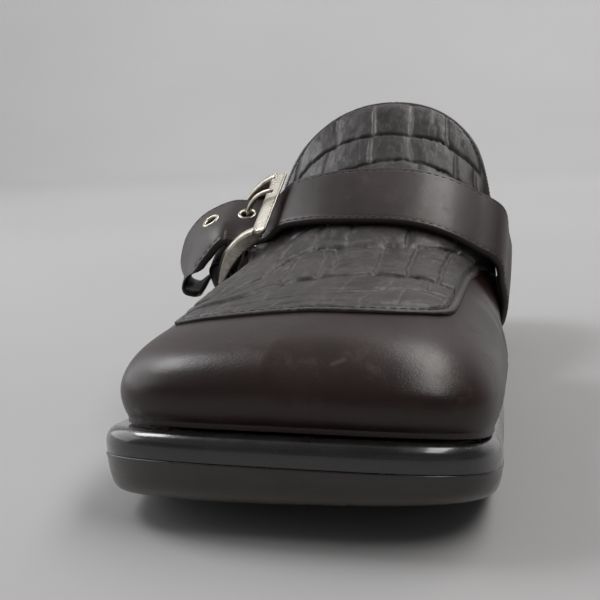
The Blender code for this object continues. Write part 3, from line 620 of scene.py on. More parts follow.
def worn_metal(name, bright, dull):
    """Plated metal rubbed by use: cloudy tarnish, fine scratches."""
    s = Surface(name, Metallic=1.0)
    tarnish = s.ranged(s.noise(220.0, 6.0, 0.7), 0.4, 0.7)
    scratch = s.noise(500.0, 4.0, 0.7, vector=s.stretched((1.0, 6.0, 1.4)))
    colour = s.mix(tarnish, bright, dull)
    roughness = s.math("ADD", s.ranged(tarnish, 0, 1, 0.2, 0.4), s.math("MULTIPLY", scratch, 0.1))
    return s.finish(colour, roughness, s.bump(scratch, 0.00004, 0.4))


def thread(name, colour):
    """Waxed thread, twisted."""
    s = Surface(name, Specular_IOR_Level=0.4, Sheen_Weight=0.2)
    twist = s.noise(2600.0, 2.0, 0.5)
    shade = s.mix(twist, tuple(0.6 * c for c in colour), colour)
    return s.finish(shade, s.ranged(twist, 0.3, 0.7, 0.5, 0.7), s.bump(twist, 0.00008, 0.6))


BROWN_BLACK = smooth_leather(
    "calf_brown_black", (0.012, 0.004, 0.0032), (0.0215, 0.0078, 0.006), rough=(0.33, 0.41), gloss=0.46
)
STRAP_LEATHER = smooth_leather(
    "calf_strap", (0.0125, 0.0066, 0.0056), (0.023, 0.013, 0.0108), rough=(0.38, 0.5), gloss=0.42
)
# Dark edge paint. The back faces of the strap and chape take it too, as painted shade.
EDGE_PAINT_AND_SHADE = smooth_leather("edge_paint_and_shade", (0.007, 0.0045, 0.004), (0.013, 0.0085, 0.0075), rough=(0.5, 0.62))
CROC = embossed_leather(
    "embossed_brown_black", (0.016, 0.0127, 0.0121), (0.035, 0.03, 0.029), (0.15, 0.134, 0.127)
)
LINING = lining_leather("lining_tan", (0.30, 0.205, 0.125), (0.45, 0.335, 0.225))
SOCK = lining_leather("sock_tan", (0.36, 0.26, 0.165), (0.53, 0.41, 0.285))
WELT = sole_surface("welt_gloss_black", (0.0045, 0.0038, 0.004), (0.0115, 0.0096, 0.0098), (0.2, 0.32), 0.75)
RUBBER = sole_surface(
    "sole_rubber_brown_black", (0.009, 0.0072, 0.006), (0.022, 0.018, 0.0145), (0.26, 0.36), 0.35
)
HEEL_RUBBER = sole_surface("heel_black", (0.013, 0.012, 0.011), (0.026, 0.023, 0.021), (0.3, 0.45), 0.15)
NICKEL = worn_metal("nickel_worn", (0.55, 0.52, 0.45), (0.33, 0.30, 0.25))
BLACK_THREAD = thread("thread_brown_black", (0.026, 0.020, 0.018))
TAN_THREAD = thread("thread_tan", (0.62, 0.5, 0.36))


# ---------------------------------------------------------------- the sole
def sole_ends(depth, square, turns):
    """A rounded end of the sole: how far in from its tip, and the share of the full width there."""
    return [
        (depth * (1 - math.cos(t) ** (2 / square)), math.sin(t) ** (2 / square))
        for t in np.radians(np.linspace(0, 90, turns))
    ]


# Each half of the outline starts and ends this far from the middle line, so that no two points meet.
TOE_APART, HEEL_APART = 1.5, 1.0


def full_ring():
    """The sole's outline: down the lateral side from the toe's middle, and back up the medial side."""
    stations = sole_ends(TOE_DEPTH, TOE_SQUARE, 48)
    stations += [(s, 1.0) for s in np.linspace(TOE_DEPTH, LENGTH - HEEL_DEPTH, 130)[1:-1]]
    stations += [(LENGTH - s, share) for s, share in sole_ends(HEEL_DEPTH, HEEL_SQUARE, 48)[::-1]]
    halves = []
    for side in (-1, 1):
        line = np.array([(side * share * float(SOLE_EDGE[side](s)), s) for s, share in stations])
        line[0] = (line[0, 0] + side * TOE_APART, 0.0)
        line[-1] = (line[-1, 0] + side * HEEL_APART, LENGTH)
        halves.append(even(line[::-side], len(line) + 40))
    return np.vstack(halves)


SOLE_RING = full_ring()


def ring_normals(ring):
    ahead = np.roll(ring, -2, axis=0) - np.roll(ring, 2, axis=0)
    normal = unit(np.column_stack([ahead[:, 1], -ahead[:, 0]]))
    middle = ring.mean(axis=0)
    return normal if ((ring - middle) * normal).sum() > 0 else -normal


SOLE_OUT = ring_normals(SOLE_RING)


def sole_ring(inset, height_of):
    moved = SOLE_RING - SOLE_OUT * np.reshape(inset, (-1, 1))
    return np.column_stack([moved, height_of(moved[:, 1])])


def ladder(first, count):
    """Faces that close a ring by rungs from one side to the other."""
    half = count // 2
    rungs = [(first + i, first + count - 1 - i) for i in range(half)]
    return [(a, b, d, c) for (a, b), (c, d) in zip(rungs, rungs[1:])]


def loft_rings(name, sections, surface, values=None):
    count = len(sections[0])
    faces = grid_faces(len(sections), count, wrap=True)
    faces += ladder(0, count) + ladder((len(sections) - 1) * count, count)
    return add_object(name, np.concatenate(sections), faces, [surface], values=values, sharp=50)


def midsole_base(along):
    return UNDERSIDE(along) + OUTSOLE_THICK + GAP


def midsole_top(along):
    return midsole_base(along) + MIDSOLE_THICK - GAP


def twisted(section, share):
    """The toe's sole lifts towards the medial side, by a share of the full twist."""
    inward = np.clip((section[:, 0] + 20) / 60, 0, 1) ** 1.5
    section[:, 2] += share * TWIST * inward * (1 - blend(12, 50, section[:, 1]))
    return section


def add_outsole():
    levels = (
        (0.0, 3.6), (0.12, 2.9), (0.4, 2.25), (0.85, 1.75), (1.5, 1.3), (2.5, 0.9), (3.9, 0.55),
        (5.4, 0.28), (6.7, 0.1), (7.6, 0.02), (8.1, -0.1), (8.45, -0.2), (8.65, -0.2), (8.8, -0.08),
        (8.86, 0.15), (8.86, 1.6),
    )
    sections, rubbed_and_sheen = [], []
    for up, inset in levels:
        ring = sole_ring(inset, lambda s, up=up: UNDERSIDE(s) + up)
        sections.append(twisted(ring, max(0.0, 1 - up / OUTSOLE_THICK)))
        # Painted reflection: the band is paled along its bottom rim and at its lateral front corner, as if
        # lit by the floor.
        corner = (1 - blend(-45, -15, ring[:, 0])) * (1 - blend(20, 60, ring[:, 1]))
        rubbed_and_sheen.append(0.5 * bell(up - 1.2, 1.3) + 0.22 * corner)
    obj = loft_rings("sole_lower_band", sections, RUBBER, {"rubbed_and_sheen": np.concatenate(rubbed_and_sheen)})
    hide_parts("outsole")


def add_welt():
    levels = (
        (-0.2, 1.6), (-0.2, 0.3), (0.0, 0.14), (0.4, 0.08), (0.95, 0.02), (1.7, -0.04), (2.8, -0.05),
        (3.9, 0.12), (4.8, 0.5), (5.5, 1.05), (6.0, 1.7), (6.35, 2.4), (6.55, 3.2), (6.6, 4.2), (6.6, 6.0),
    )
    wave = soft_noise(np.column_stack([SOLE_RING, SOLE_RING[:, 0] * 0]), 26.0, 5, 2)
    sections = []
    for up, inset in levels:
        section = sole_ring(inset, lambda s, up=up: midsole_base(s) + up)
        section[:, 2] += 0.07 * wave * (up > 3)
        sections.append(section)
    obj = loft_rings("sole_welt_band", sections, WELT)
    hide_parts("midsole")


def add_heel():
    edge = SOLE_RING[SOLE_RING[:, 1] > HEEL_BREAST + 2]
    breast = [(side * float(SOLE_EDGE[side](HEEL_BREAST)), HEEL_BREAST) for side in (-1, 1)]
    ring = np.vstack([breast[0], edge, breast[1]])
    back = (ring[:, 1] - HEEL_BREAST) / (LENGTH - HEEL_BREAST)
    widest = np.abs(ring[:, 0]).max()

    def section(more, height_share=None, height=None):
        share = height_share if height is None else height / HEEL_TALL
        inset = 1.0 + more + HEEL_TAPER * (1 - share)
        front = HEEL_BREAST + more + HEEL_RAKE * (1 - share)
        wide = ring[:, 0] * (1 - inset / widest)
        along = front + back * (LENGTH - inset - front)
        top = UNDERSIDE(along) - GAP * 0.4
        level = top * height_share if height is None else np.full(len(ring), height)
        return np.column_stack([wide, along, level])

    lift = [(0.0, 1.3), (0.2, 0.7), (0.6, 0.3), (1.2, 0.05), (2.5, 0.0), (4.4, 0.0), (5.2, 0.1), (5.5, 0.45)]
    sections = [section(more, height=up) for up, more in lift]
    loft_rings("heel_top_piece", sections, RUBBER)
    body = [section(more, height=up) for up, more in ((5.5, 0.5), (5.75, 0.12), (6.4, 0.0))]
    body += [section(0.0, share) for share in (0.35, 0.6, 0.8, 0.97)] + [section(0.2, 1.0)]
    obj = loft_rings("heel_block", body, HEEL_RUBBER)
    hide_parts("heel")


def sock_inset():
    inset = np.empty(len(SOLE_RING))
    for i, ((nx, ny), s) in enumerate(zip(SOLE_OUT, SOLE_RING[:, 1])):
        side = -1 if nx < 0 else 1
        beside = float(SOLE_EDGE[side](s) - feather_edge(side, s))
        inside = abs(nx) * beside + abs(ny) * (GIRTH_FRONT + TUCK) + UPPER_WALL + 0.7
        opened = float(blend(COLLAR_SOLE + 1, COLLAR_SOLE + 24, s))
        inset[i] = inside + (2.6 - inside) * opened
    return inset


def seat_dish(along, from_edge):
    return 1.1 * blend(2, 24, from_edge) * blend(165, 215, along)


def add_insole():
    """The sock: a slightly dished top with a rounded, stitched edge."""
    half = len(SOLE_RING) // 2
    edge = sole_ring(sock_inset(), lambda s: midsole_top(s) + GAP)
    lateral, medial = edge[:half], edge[half:][::-1]
    share = crowded(61, 0.35)
    top = lateral[:, None] + (medial - lateral)[:, None] * share[None, :, None]
    width = np.linalg.norm(medial - lateral, axis=1)
    from_side = np.minimum(share, 1 - share)[None, :] * width[:, None]
    from_end = np.minimum(lateral[:, 1] - lateral[0, 1], lateral[-1, 1] - lateral[:, 1])
    from_edge = np.minimum(from_side, from_end[:, None])
    channel = -0.28 * bell(from_edge - SOCK_SEAM, 0.55)
    cushion = 0.12 * soft_noise(top[..., :2], 30.0, 21, 2) * blend(1, 6, from_edge)
    bottom = top.copy()
    top[..., 2] += INSOLE_THICK - seat_dish(top[..., 1], from_edge) - rim(from_edge, 1.2) + channel + cushion
    bottom[..., 2] += 0.05 + rim(from_edge, 0.3)
    points, faces = solid_from(top, bottom, ("first_row", "last_row", "first_col", "last_col"))
    obj = add_object("sock", points, faces, [SOCK], sharp=70)
    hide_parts("insole")
    keep = (SOLE_RING[:, 1] > 128) | (SOLE_RING[:, 1] < -1)
    inner = sole_ring(sock_inset() + SOCK_SEAM, lambda s: midsole_top(s) + GAP + INSOLE_THICK - 0.16)
    line = inner[keep]
    start = int(np.argmax(np.linalg.norm(np.diff(line, axis=0, append=line[:1]), axis=1)))
    line = even(np.roll(line, -start - 1, axis=0), 400)
    line[:, 2] -= seat_dish(line[:, 1], SOCK_SEAM) + 0.05
    up = np.tile((0.0, 0.0, 1.0), (len(line), 1))
    stitches("sock_stitches", line, up, TAN_THREAD, 3.6, 0.26, long=2.6)


# ---------------------------------------------------------------- the upper
def feather_edge(side, along):
    return np.minimum(GIRTH[side](along) - TUCK, SOLE_EDGE[side](along) - FEATHER_INSIDE)


def shell_base(along):
    return midsole_top(along) + GAP


def toe_share(along):
    return np.clip((TOE_DEPTH - np.asarray(along, float)) / (TOE_DEPTH - GIRTH_FRONT), 0, None)


def shell_height(x, along):
    """Height of the shell's outer face over a place in plan."""
    x, along = np.broadcast_arrays(np.asarray(x, float), np.asarray(along, float))
    width = np.where(x < 0, GIRTH[-1](along), GIRTH[1](along))
    out = (np.abs(x / width) ** TOE_SQUARE + toe_share(along) ** TOE_SQUARE) ** (1 / TOE_SQUARE)
    lateral = x < 0
    fall = FALL(along) * np.where(lateral, 1.0, FALL_MEDIAL)
    squared = CROWN(along) + fall * np.where(lateral, 20, 6)
    rise = (1 - np.clip(out, 0, 1) ** squared) ** (1 / SHOULDER(along))
    rise *= 1 - fall * np.clip(np.abs(x / width), 0, 1) ** np.where(lateral, 1.3, 2.0)
    rise *= 1 - TOE_SLOPE * toe_share(along) ** 2.2
    base = shell_base(along)
    return base + (RIDGE(along) - base) * rise


def collar(share):
    """Where the collar's edge runs, by the share of the way out from the ridge to the sole."""
    return COLLAR_RIDGE + (COLLAR_SOLE - COLLAR_RIDGE) * share**2.4


def drawn_in(side, wide, along, height):
    """How far the wall's foot is drawn in to the feather edge."""
    deep = GIRTH[side](along) - feather_edge(side, along) if wide > 0.999 else TUCK
    tall = TUCK_HEIGHT + 12 * blend(100, 140, along)
    low = 1 - np.clip((height - shell_base(along) - 1.2) / tall, 0, 1)
    return deep * low**2


def shell_grid(rises, rears, fronts, turns):
    """Points of the shell's outer face: a row for each rib, from the feather edge up to the ridge."""
    ribs = [("rear", f) for f in rears] + [("side", s) for s in fronts] + [("toe", t) for t in turns]
    turn = np.asarray(rises) * math.pi / 2
    out = np.where(rises < 1, np.abs(np.cos(turn)) ** (2 / RIB_SQUARE), 0.0)
    halves = []
    for side in (-1, 1):
        half = []
        for kind, value in ribs:
            wide, ahead = 1.0, 0.0
            if kind == "rear":
                along = FLEX_FROM + value * (collar(out) - FLEX_FROM)
            elif kind == "side":
                along = value + 0 * out
            else:
                depth = math.cos(value) ** (2 / TOE_SQUARE) if value < math.pi / 2 - 1e-9 else 0.0
                wide = math.sin(value) ** (2 / TOE_SQUARE) if value > 1e-9 else 0.0
                along = TOE_DEPTH - out * depth * (TOE_DEPTH - GIRTH_FRONT)
                ahead = (1 - wide**TOE_SQUARE) ** (1 / TOE_SQUARE) if wide < 1 else 0.0
            x = side * wide * out * GIRTH[side](along)
            height = shell_height(x, along)
            pull = np.where(out > 0.5, drawn_in(side, wide, along, height), 0.0)
            steer = math.hypot(wide, ahead)
            x = x - side * pull * wide / steer
            half.append(np.stack([x, along + pull * ahead / steer, height], axis=-1))
        halves.append(half)
    return np.array(halves[0] + halves[1][-2::-1])


SHELL_RISES = (0.0, 0.008, 0.03, 0.07, 0.13, 0.21, 0.30, 0.40, 0.52, 0.66, 0.82, 1.0)

# Creases of a worn vamp, as (x, along, height) lines on the wall with depth and width.
WALL_CREASES = (
    (((-47.5, 84.0, 44.0), (-49.0, 86.0, 34.0), (-48.5, 89.0, 24.0)), 0.75, 3.0),
    (((-46.5, 73.0, 44.0), (-48.0, 76.0, 34.0), (-47.5, 79.0, 26.0)), 0.5, 2.6),
    (((-46.5, 95.0, 44.0), (-48.4, 97.0, 34.0), (-47.0, 101.0, 25.0)), 0.6, 3.2),
    (((41.0, 80.0, 45.0), (42.2, 83.0, 36.0), (41.5, 87.0, 25.0)), 0.7, 3.0),
    (((41.5, 69.0, 44.0), (42.8, 72.0, 34.0), (42.0, 75.0, 26.0)), 0.5, 2.6),
    (((40.0, 90.0, 46.0), (41.5, 94.0, 36.0), (39.8, 99.0, 26.0)), 0.6, 3.2),
)


def wall_relief(points):
    """Creases and the soft unevenness of lasted leather."""
    relief = 0.10 * soft_noise(points, 17.0, 3, 2)
    for line, depth, width in WALL_CREASES:
        relief += crease(near_line(points, smooth_path(line, 12)), depth, width)
    return relief


def add_upper():
    rises = np.interp(np.linspace(0, 11, 100), np.arange(12), SHELL_RISES)
    turns = np.radians(90 - 90 * np.linspace(0, 1, 92) ** 0.9)
    rears = 1 - np.concatenate([[0, 0.004, 0.01, 0.02, 0.035, 0.055], np.linspace(0.08, 1, 44)])
    fronts = np.linspace(FLEX_FROM, TOE_DEPTH, 58)[1:-1]
    face = shell_grid(rises, rears, fronts, turns)
    normal = grid_normals(face)
    middle = face.shape[0] // 2
    if normal[middle, 20, 1] > 0:
        normal = -normal
    normal[:, -1] = (0, 0, 1)
    share = np.array([*rears, *np.zeros(len(fronts) + len(turns))])
    share = np.concatenate([share, share[-2::-1]])
    from_collar = (1 - share)[:, None] * (collar(np.cos(rises * math.pi / 2)) - FLEX_FROM)[None, :]
    from_collar = np.where(share[:, None] > 0, from_collar, 99.0)
    relief = wall_relief(face) * blend(0.0, 3.0, from_collar)
    relief += -0.2 * bell(from_collar - COLLAR_SEAM, 0.5)
    roll = rim(from_collar, UPPER_WALL / 2)
    outer = face + normal * (relief - roll)[..., None]
    inner = face - normal * (UPPER_WALL - roll)[..., None]
    points, faces = solid_from(outer, inner, ("first_row", "last_row", "first_col"))
    rows, cols = face.shape[:2]
    slots = np.zeros(len(faces), dtype=int)
    cells = (rows - 1) * (cols - 1)
    lined = (from_collar > 2.5)[:-1, :-1].reshape(-1)
    slots[cells : 2 * cells][lined] = 1
    worn = np.concatenate([wall_wear(face).reshape(-1), np.zeros(rows * cols)])
    obj = add_object("upper_leather", points, faces, [BROWN_BLACK, LINING], slots, {"worn": worn})
    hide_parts("upper")
    for side, rows_at in ((-1, slice(0, 14)), (1, slice(-14, None))):
        band = from_collar[rows_at]
        line, up = [], []
        for c in range(4, 99, 3):
            order = np.argsort(band[:, c])
            for kept, field in ((line, outer), (up, normal)):
                kept.append(read_at(COLLAR_SEAM, band[order, c], field[rows_at][order, c]))
        name = f"collar_stitches_{'lateral' if side < 0 else 'medial'}"
        stitches(name, line, np.array(up), BLACK_THREAD, 2.6, 0.22, rise=0.05)


def wall_wear(points):
    """Rubbed spots: along the foot of the wall at the outer corner, and two short scratches on the toe."""
    x, along, height = points[..., 0], points[..., 1], points[..., 2]
    corner = bell(x + 40, 8) * bell(height - shell_base(along) - 2.5, 1.6) * (along < 30)
    patchy = blend(0.15, 0.7, soft_noise(points, 2.2, 31, 2))
    worn = 0.55 * corner * patchy
    for line in (((-2.6, 0, 39.0), (-1.9, 0, 41.4)), ((9.3, 0, 38.6), (11.5, 0, 39.4))):
        line = np.array(line)[:, [0, 2]]
        away = near_line(points[..., [0, 2]], line)
        worn = worn + 0.26 * bell(away, 0.35) * (along < 12)
    return np.clip(worn, 0, 1)


# ---------------------------------------------------------------- plug and tongue
def plug_bed(x, along):
    """Point and normal of the face that the plug and tongue lie on."""
    def under(x, along):
        bedded = shell_height(x, along)
        tongue = RIDGE(along) - TONGUE_DROP * (x / TONGUE_HALF) ** 2
        free = blend(TONGUE_FROM, TONGUE_FREE, along)
        return bedded * (1 - free) + np.maximum(tongue, bedded) * free

    d = 0.4
    slope_x = (under(x + d, along) - under(x - d, along)) / (2 * d)
    slope_s = (under(x, along + d) - under(x, along - d)) / (2 * d)
    normal = unit(np.stack([-slope_x, -slope_s, np.ones_like(slope_x)], axis=-1))
    return np.stack([x, along, under(x, along)], axis=-1), normal


def plug_face(x, along):
    """The plug's outer face, plain, for the strap to lie on."""
    point, normal = plug_bed(*np.broadcast_arrays(np.asarray(x, float), np.asarray(along, float)))
    return point + normal * (PLUG_THICK + GAP + 0.15)


def plug_side(side):
    """The outline in plan from the front middle round one side to the tongue's end."""
    front = PLUG_FRONT + PLUG_CORNER[side]
    back = TONGUE_TOP - TONGUE_ROUND
    line = []

    def corner(degrees, start, deep, square):
        for t in np.radians(degrees):
            along = start + deep * abs(math.cos(t)) ** (2 / square)
            line.append((side * math.sin(t) ** (2 / square) * float(PLUG_EDGE[side](along)), along))

    corner(np.linspace(0, 90, 60), front, -PLUG_CORNER[side], PLUG_SQUARE[side])
    for s in np.linspace(front, back, 60)[1:-1]:
        line.append((side * float(PLUG_EDGE[side](s)), s))
    corner(np.linspace(90, 0, 60), back, TONGUE_ROUND, TONGUE_SQUARE)
    return np.array(line)


def plug_patch(us, vs):
    """A four-sided patch over the plug and tongue in plan: us go from lateral to medial, vs to the back."""
    lateral, medial = plug_side(-1), plug_side(1)
    corners = []
    for line in (lateral, medial):
        corners.append((int(np.argmin(line[:, 1] + 0.75 * (38 - np.abs(line[:, 0])))), len(line) - 30))
    (lf, lb), (mf, mb) = corners
    front = even(np.vstack([lateral[: lf + 1][::-1], medial[1 : mf + 1]]), 600)
    back = even(np.vstack([lateral[lb:], medial[mb:-1][::-1]]), 600)
    left = even(lateral[lf : lb + 1], 600)
    right = even(medial[mf : mb + 1], 600)
    at = np.linspace(0, 1, 600)
    u, v = us[None, :, None], vs[:, None, None]
    patch = (1 - v) * read_at(us, at, front)[None] + v * read_at(us, at, back)[None]
    patch = patch + (1 - u) * read_at(vs, at, left)[:, None] + u * read_at(vs, at, right)[:, None]
    flat = (1 - u) * (1 - v) * front[0] + u * (1 - v) * front[-1] + (1 - u) * v * back[0] + u * v * back[-1]
    return patch - flat


# The embossing: lines between the rows of cells, front to back, each as (x, along) points; then, for the row
# behind each line, where the lines between its cells start and end, as (x at its front, x at its back).
ROWS = (
    ((-38, 22), (38, 22)),
    ((-38, 32), (-20, 33), (0, 37), (12, 38), (24, 41), (38, 43)),
    ((-38, 35), (-16, 39), (1, 44), (12, 48), (20, 54), (28, 55), (38, 53)),
    (
        (-38, 38), (-24, 43), (-15, 52), (-9.5, 59), (-4, 61),
        (1, 61.5), (7.5, 64), (18, 64), (27, 62), (38, 59),
    ),
    (
        (-38, 42), (-25, 54), (-20, 70), (-17, 84), (-12, 89), (-4, 90),
        (4, 91), (14, 92), (22, 96), (28, 102), (38, 108),
    ),
    ((-38, 62), (-29, 84), (-21, 100), (-11, 105), (5, 106), (20, 108), (28, 112), (38, 115)),
    ((-38, 88), (-25, 107), (-12, 114), (5, 117), (20, 118), (38, 118)),
    ((-38, 110), (-24, 121), (-9, 127), (5, 129), (18, 129), (28, 127), (38, 124)),
    ((-38, 123), (-21, 134), (-8, 137), (7, 138), (18, 137), (28, 134), (38, 128)),
    ((-38, 140), (-26, 146), (-8, 150), (8, 150), (22, 147), (38, 139)),
)
CELLS = (
    ((-28, -28), (-14, -13), (-2, -1), (9, 10), (21, 21), (31, 31)),
    ((-30, -29), (-21, -20), (-11, -10), (-1, 0), (9, 10), (18, 18), (27, 28)),
    ((-26, -25), (-15, -16), (-7, -6), (3, 4), (13, 14), (24, 23), (32, 31)),
    ((-14, -16), (-5.5, -10), (-1.5, -6.5), (8.5, 6.5), (17, 15), (25, 24)),
    ((-30, -29), (-22, -21), (-13, -13), (-4, -4.5), (12.5, 11.5), (25, 24)),
    ((-31, -30), (-24, -22), (-13, -13), (-3, -3), (8, 8), (18, 19), (28, 27)),
    ((-29, -28), (-20, -19), (-11, -10), (0, 1), (10, 11), (21, 21), (30, 30)),
    ((-27, -27), (-18, -18), (-4, -5), (9, 8), (22, 22), (29, 28)),
    ((-28, -27), (-16, -17), (-4, -5), (8, 7), (19, 18), (30, 28)),
    ((-20, -20), (0, 0), (20, 20)),
)


# How high each row's cells stand: nearly worn away on the toe, plumpest just in front of the strap.
ROW_DEPTH = (0.4, 0.45, 0.5, 1.4, 1.6, 1.0, 1.0, 1.0, 1.0, 1.0)


def embossing(x, along):
    """Height of the embossed cells in millimetres, how pale each place is (its grooves, and the front of the
    plug overall), and how dark: the dark is painted shade in the crack at each row's front step.
    """
    where = np.stack([x, along], axis=-1)
    x = x + 0.5 * soft_noise(where, 8.0, 41, 2) + 0.16 * soft_noise(where, 1.7, 43, 1)
    along = along + 0.55 * soft_noise(where, 8.0, 47, 2) + 0.2 * soft_noise(where, 1.5, 49, 1)
    curves = [column(("x", "along"), row, "along") for row in ROWS]
    behind, ahead = np.full(x.shape, 99.0), np.full(x.shape, 99.0)
    depth = np.ones(x.shape)
    lines = []
    for curve, row_depth in zip(curves, ROW_DEPTH):
        line = curve(x)
        lines.append(line)
        away = (along - line) / np.sqrt(1 + (curve(x + 0.5) - curve(x - 0.5)) ** 2)
        nearer = (away >= 0) & (away < behind)
        behind = np.where(nearer, away, behind)
        depth = np.where(nearer, row_depth, depth)
        ahead = np.where(away < 0, np.minimum(ahead, -away), ahead)
    beside = np.full(x.shape, 99.0)
    for k, row in enumerate(CELLS):
        front = lines[k]
        back = lines[k + 1] if k + 1 < len(lines) else front + 12
        inside = (along >= front) & (along < back)
        t = np.clip((along - front) / np.maximum(back - front, 0.5), 0, 1)
        for x_front, x_back in row:
            away = np.abs(x - (x_front + (x_back - x_front) * t))
            beside = np.where(inside, np.minimum(beside, away), beside)
    step = 1 - np.exp(-((behind / 0.55) ** 1.5))
    slope = 1 - 0.55 * np.exp(-((ahead / 1.5) ** 1.3))
    seam = 1 - 0.5 * bell(beside, 0.42) - 0.22 * bell(beside, 1.6)
    height = 0.8 * depth * step * slope * seam
    patchy = 0.75 + 0.25 * soft_noise(where, 5.0, 53, 2)
    pale = np.maximum(0.9 * bell(beside, 0.28), 0.45 * bell(ahead - 0.2, 0.4)) * patchy
    pale = np.maximum(pale, 0.26 * patchy * (1 - blend(70, 118, along)))
    broken = blend(-0.1, 0.5, 0.42 + soft_noise(where * (1.0, 0.4), 2.4, 57, 2))
    broken = broken * blend(-26, -15, x) * (1 - blend(20, 30, x))
    # Painted shade: a broken dark line at the foot of each row's front step, where the cell's front face
    # would lie in shadow.
    dark = bell(behind - 0.4, 0.5 + 0.9 * blend(0.9, 1.2, depth)) * broken * blend(0.3, 1.0, depth)
    return height, pale, dark


# Flex creases across the plug, as (x, along) lines with depth and width.
PLUG_CREASES = (
    (((-27, 45), (-22, 54), (-18, 65), (-14, 77)), 0.4, 0.9),
    (((-33, 58), (-28, 68), (-23, 82)), 0.22, 1.2),
    (((12, 50), (22, 51), (28, 50)), 0.2, 0.9),
    (((-12, 43), (-3, 47), (6, 48)), 0.2, 0.9),
)


def plug_hem(along):
    """How free the tongue is of the shell, and how far its seam lies in from the edge."""
    free = blend(TONGUE_FROM - 6, TONGUE_FREE - 8, along)
    return free, PLUG_SEAM + (TONGUE_SEAM - PLUG_SEAM) * free


def add_plug():
    us, vs = crowded(205, 0.3), crowded(345, 0.22)
    plan = plug_patch(us, vs)
    x, along = plan[..., 0], plan[..., 1]
    bed, normal = plug_bed(x, along)
    border = np.vstack([bed[0], bed[:, -1], bed[-1][::-1], bed[:, 0][::-1]])
    from_edge = edge_distance(bed, border, 9.0)
    free, hem = plug_hem(along)
    height, pale, dark = embossing(x, along)
    flat_edge = blend(0, 1, from_edge - hem + 0.4)
    thick = PLUG_LEATHER + 0.25 * free
    inside = blend(2.5, 9.0, from_edge)
    pucker = 3.2 * bell(x + 35, 4.5) * bell(along - 105, 8)
    lift = PLUG_LIFT + 0.5 * inside * (1 - free) + 0.35 * free + pucker
    top = lift + thick - 0.5 + height * flat_edge
    top += (0.2 * soft_noise(plan, 9.0, 67, 2) + 0.09 * soft_noise(plan, 2.6, 69, 2)) * flat_edge
    for line, depth, width in PLUG_CREASES:
        top += crease(near_line(plan, smooth_path(line, 20)), depth, width, 0.3, 2.1)
    top += -0.3 * bell(from_edge - hem, 0.5)
    top -= rim(from_edge, 0.6)
    low = lift + rim(from_edge, 0.5)
    low = np.minimum(low, top - 0.25)
    outer = bed + normal * top[..., None]
    inner = bed + normal * low[..., None]
    points, faces, under, walls = thin_under(outer, inner, 4)
    lined = ((along > TONGUE_FROM + 3) & (from_edge > 1.5))[:-1, ::4][:, :-1].reshape(-1)
    slots = np.concatenate([np.zeros(len(faces), int), lined.astype(int), np.full(len(walls), 2)])
    rest = np.zeros(len(points) - pale.size)
    edge = bell(from_edge, 0.5)
    worn = 0.2 * blend(0.2, 0.9, soft_noise(outer, 3.0, 61, 2)) * edge * (1 - free)
    # The dark field: painted shade in the row cracks away from the edge band, plus a darker cut edge and seam
    # line.
    dark = np.maximum(dark * flat_edge, np.maximum(0.6 * edge, 0.45 * bell(from_edge - hem, 0.4)))
    rubbed_and_sheen = 0.5 * bell(from_edge - 1.1, 0.45) * (1 - free)
    fields = {"pale": np.maximum(pale * flat_edge, rubbed_and_sheen), "dark": dark, "worn": worn}
    values = {key: np.concatenate([field.reshape(-1), rest]) for key, field in fields.items()}
    obj = add_object(
        "plug_and_tongue", points, faces + under + walls, [CROC, LINING, EDGE_PAINT_AND_SHADE], slots, values,
        sharp=75,
    )
    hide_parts("plug_tongue")
    add_plug_stitches()


def edge_distance(points, border, most):
    """Distance to the nearest border point, up to most."""
    border = border[::2]
    flat = points.reshape(-1, 3)
    best = np.empty(len(flat))
    for start in range(0, len(flat), 4000):
        part = flat[start : start + 4000]
        best[start : start + 4000] = np.sqrt(((part[:, None] - border[None]) ** 2).sum(-1)).min(axis=1)
    return np.minimum(best, most).reshape(points.shape[:-1])


def add_plug_stitches():
    lateral, medial = plug_side(-1), plug_side(1)
    ring = np.vstack([lateral, medial[::-1][1:-1]])
    ring = even(np.vstack([ring, ring[:1]]), 900)[:-1]
    inward = -ring_normals(ring)
    _, up = plug_bed(ring[:, 0], ring[:, 1])
    free, hem = plug_hem(ring[:, 1])
    plan = ring + inward * (hem * np.clip(np.abs(up[:, 2]), 0.45, 1))[:, None]
    point, up = plug_bed(plan[:, 0], plan[:, 1])
    line = point + up * (PLUG_LIFT + PLUG_LEATHER + 0.6 * free - 0.66)[:, None]
    line, up = np.vstack([line, line[:1]]), np.vstack([up, up[:1]])
    stitches("plug_stitches", line, up, BLACK_THREAD, 2.4, 0.2, long=1.9, rise=0.04)


# ---------------------------------------------------------------- strap
def strap_middle():
    """Where the strap's middle line crosses the ridge, across the strap."""
    along = 111.3
    crossing = np.array((0.0, along, float(RIDGE(along)) + PLUG_THICK + 2 * GAP))
    return float(to_strap_frame(crossing)[2])


def convex_hull(points):
    """The hull of (x, lift) points, counterclockwise."""
    points = sorted(set(map(tuple, np.round(points, 3))))

    def chain(ordered):
        kept = []
        for p in ordered:
            while len(kept) > 1:
                (ax, ay), (bx, by) = kept[-2], kept[-1]
                if (bx - ax) * (p[1] - ay) - (by - ay) * (p[0] - ax) > 0:
                    break
                kept.pop()
            kept.append(p)
        return kept

    return np.array(chain(points)[:-1] + chain(points[::-1])[:-1])


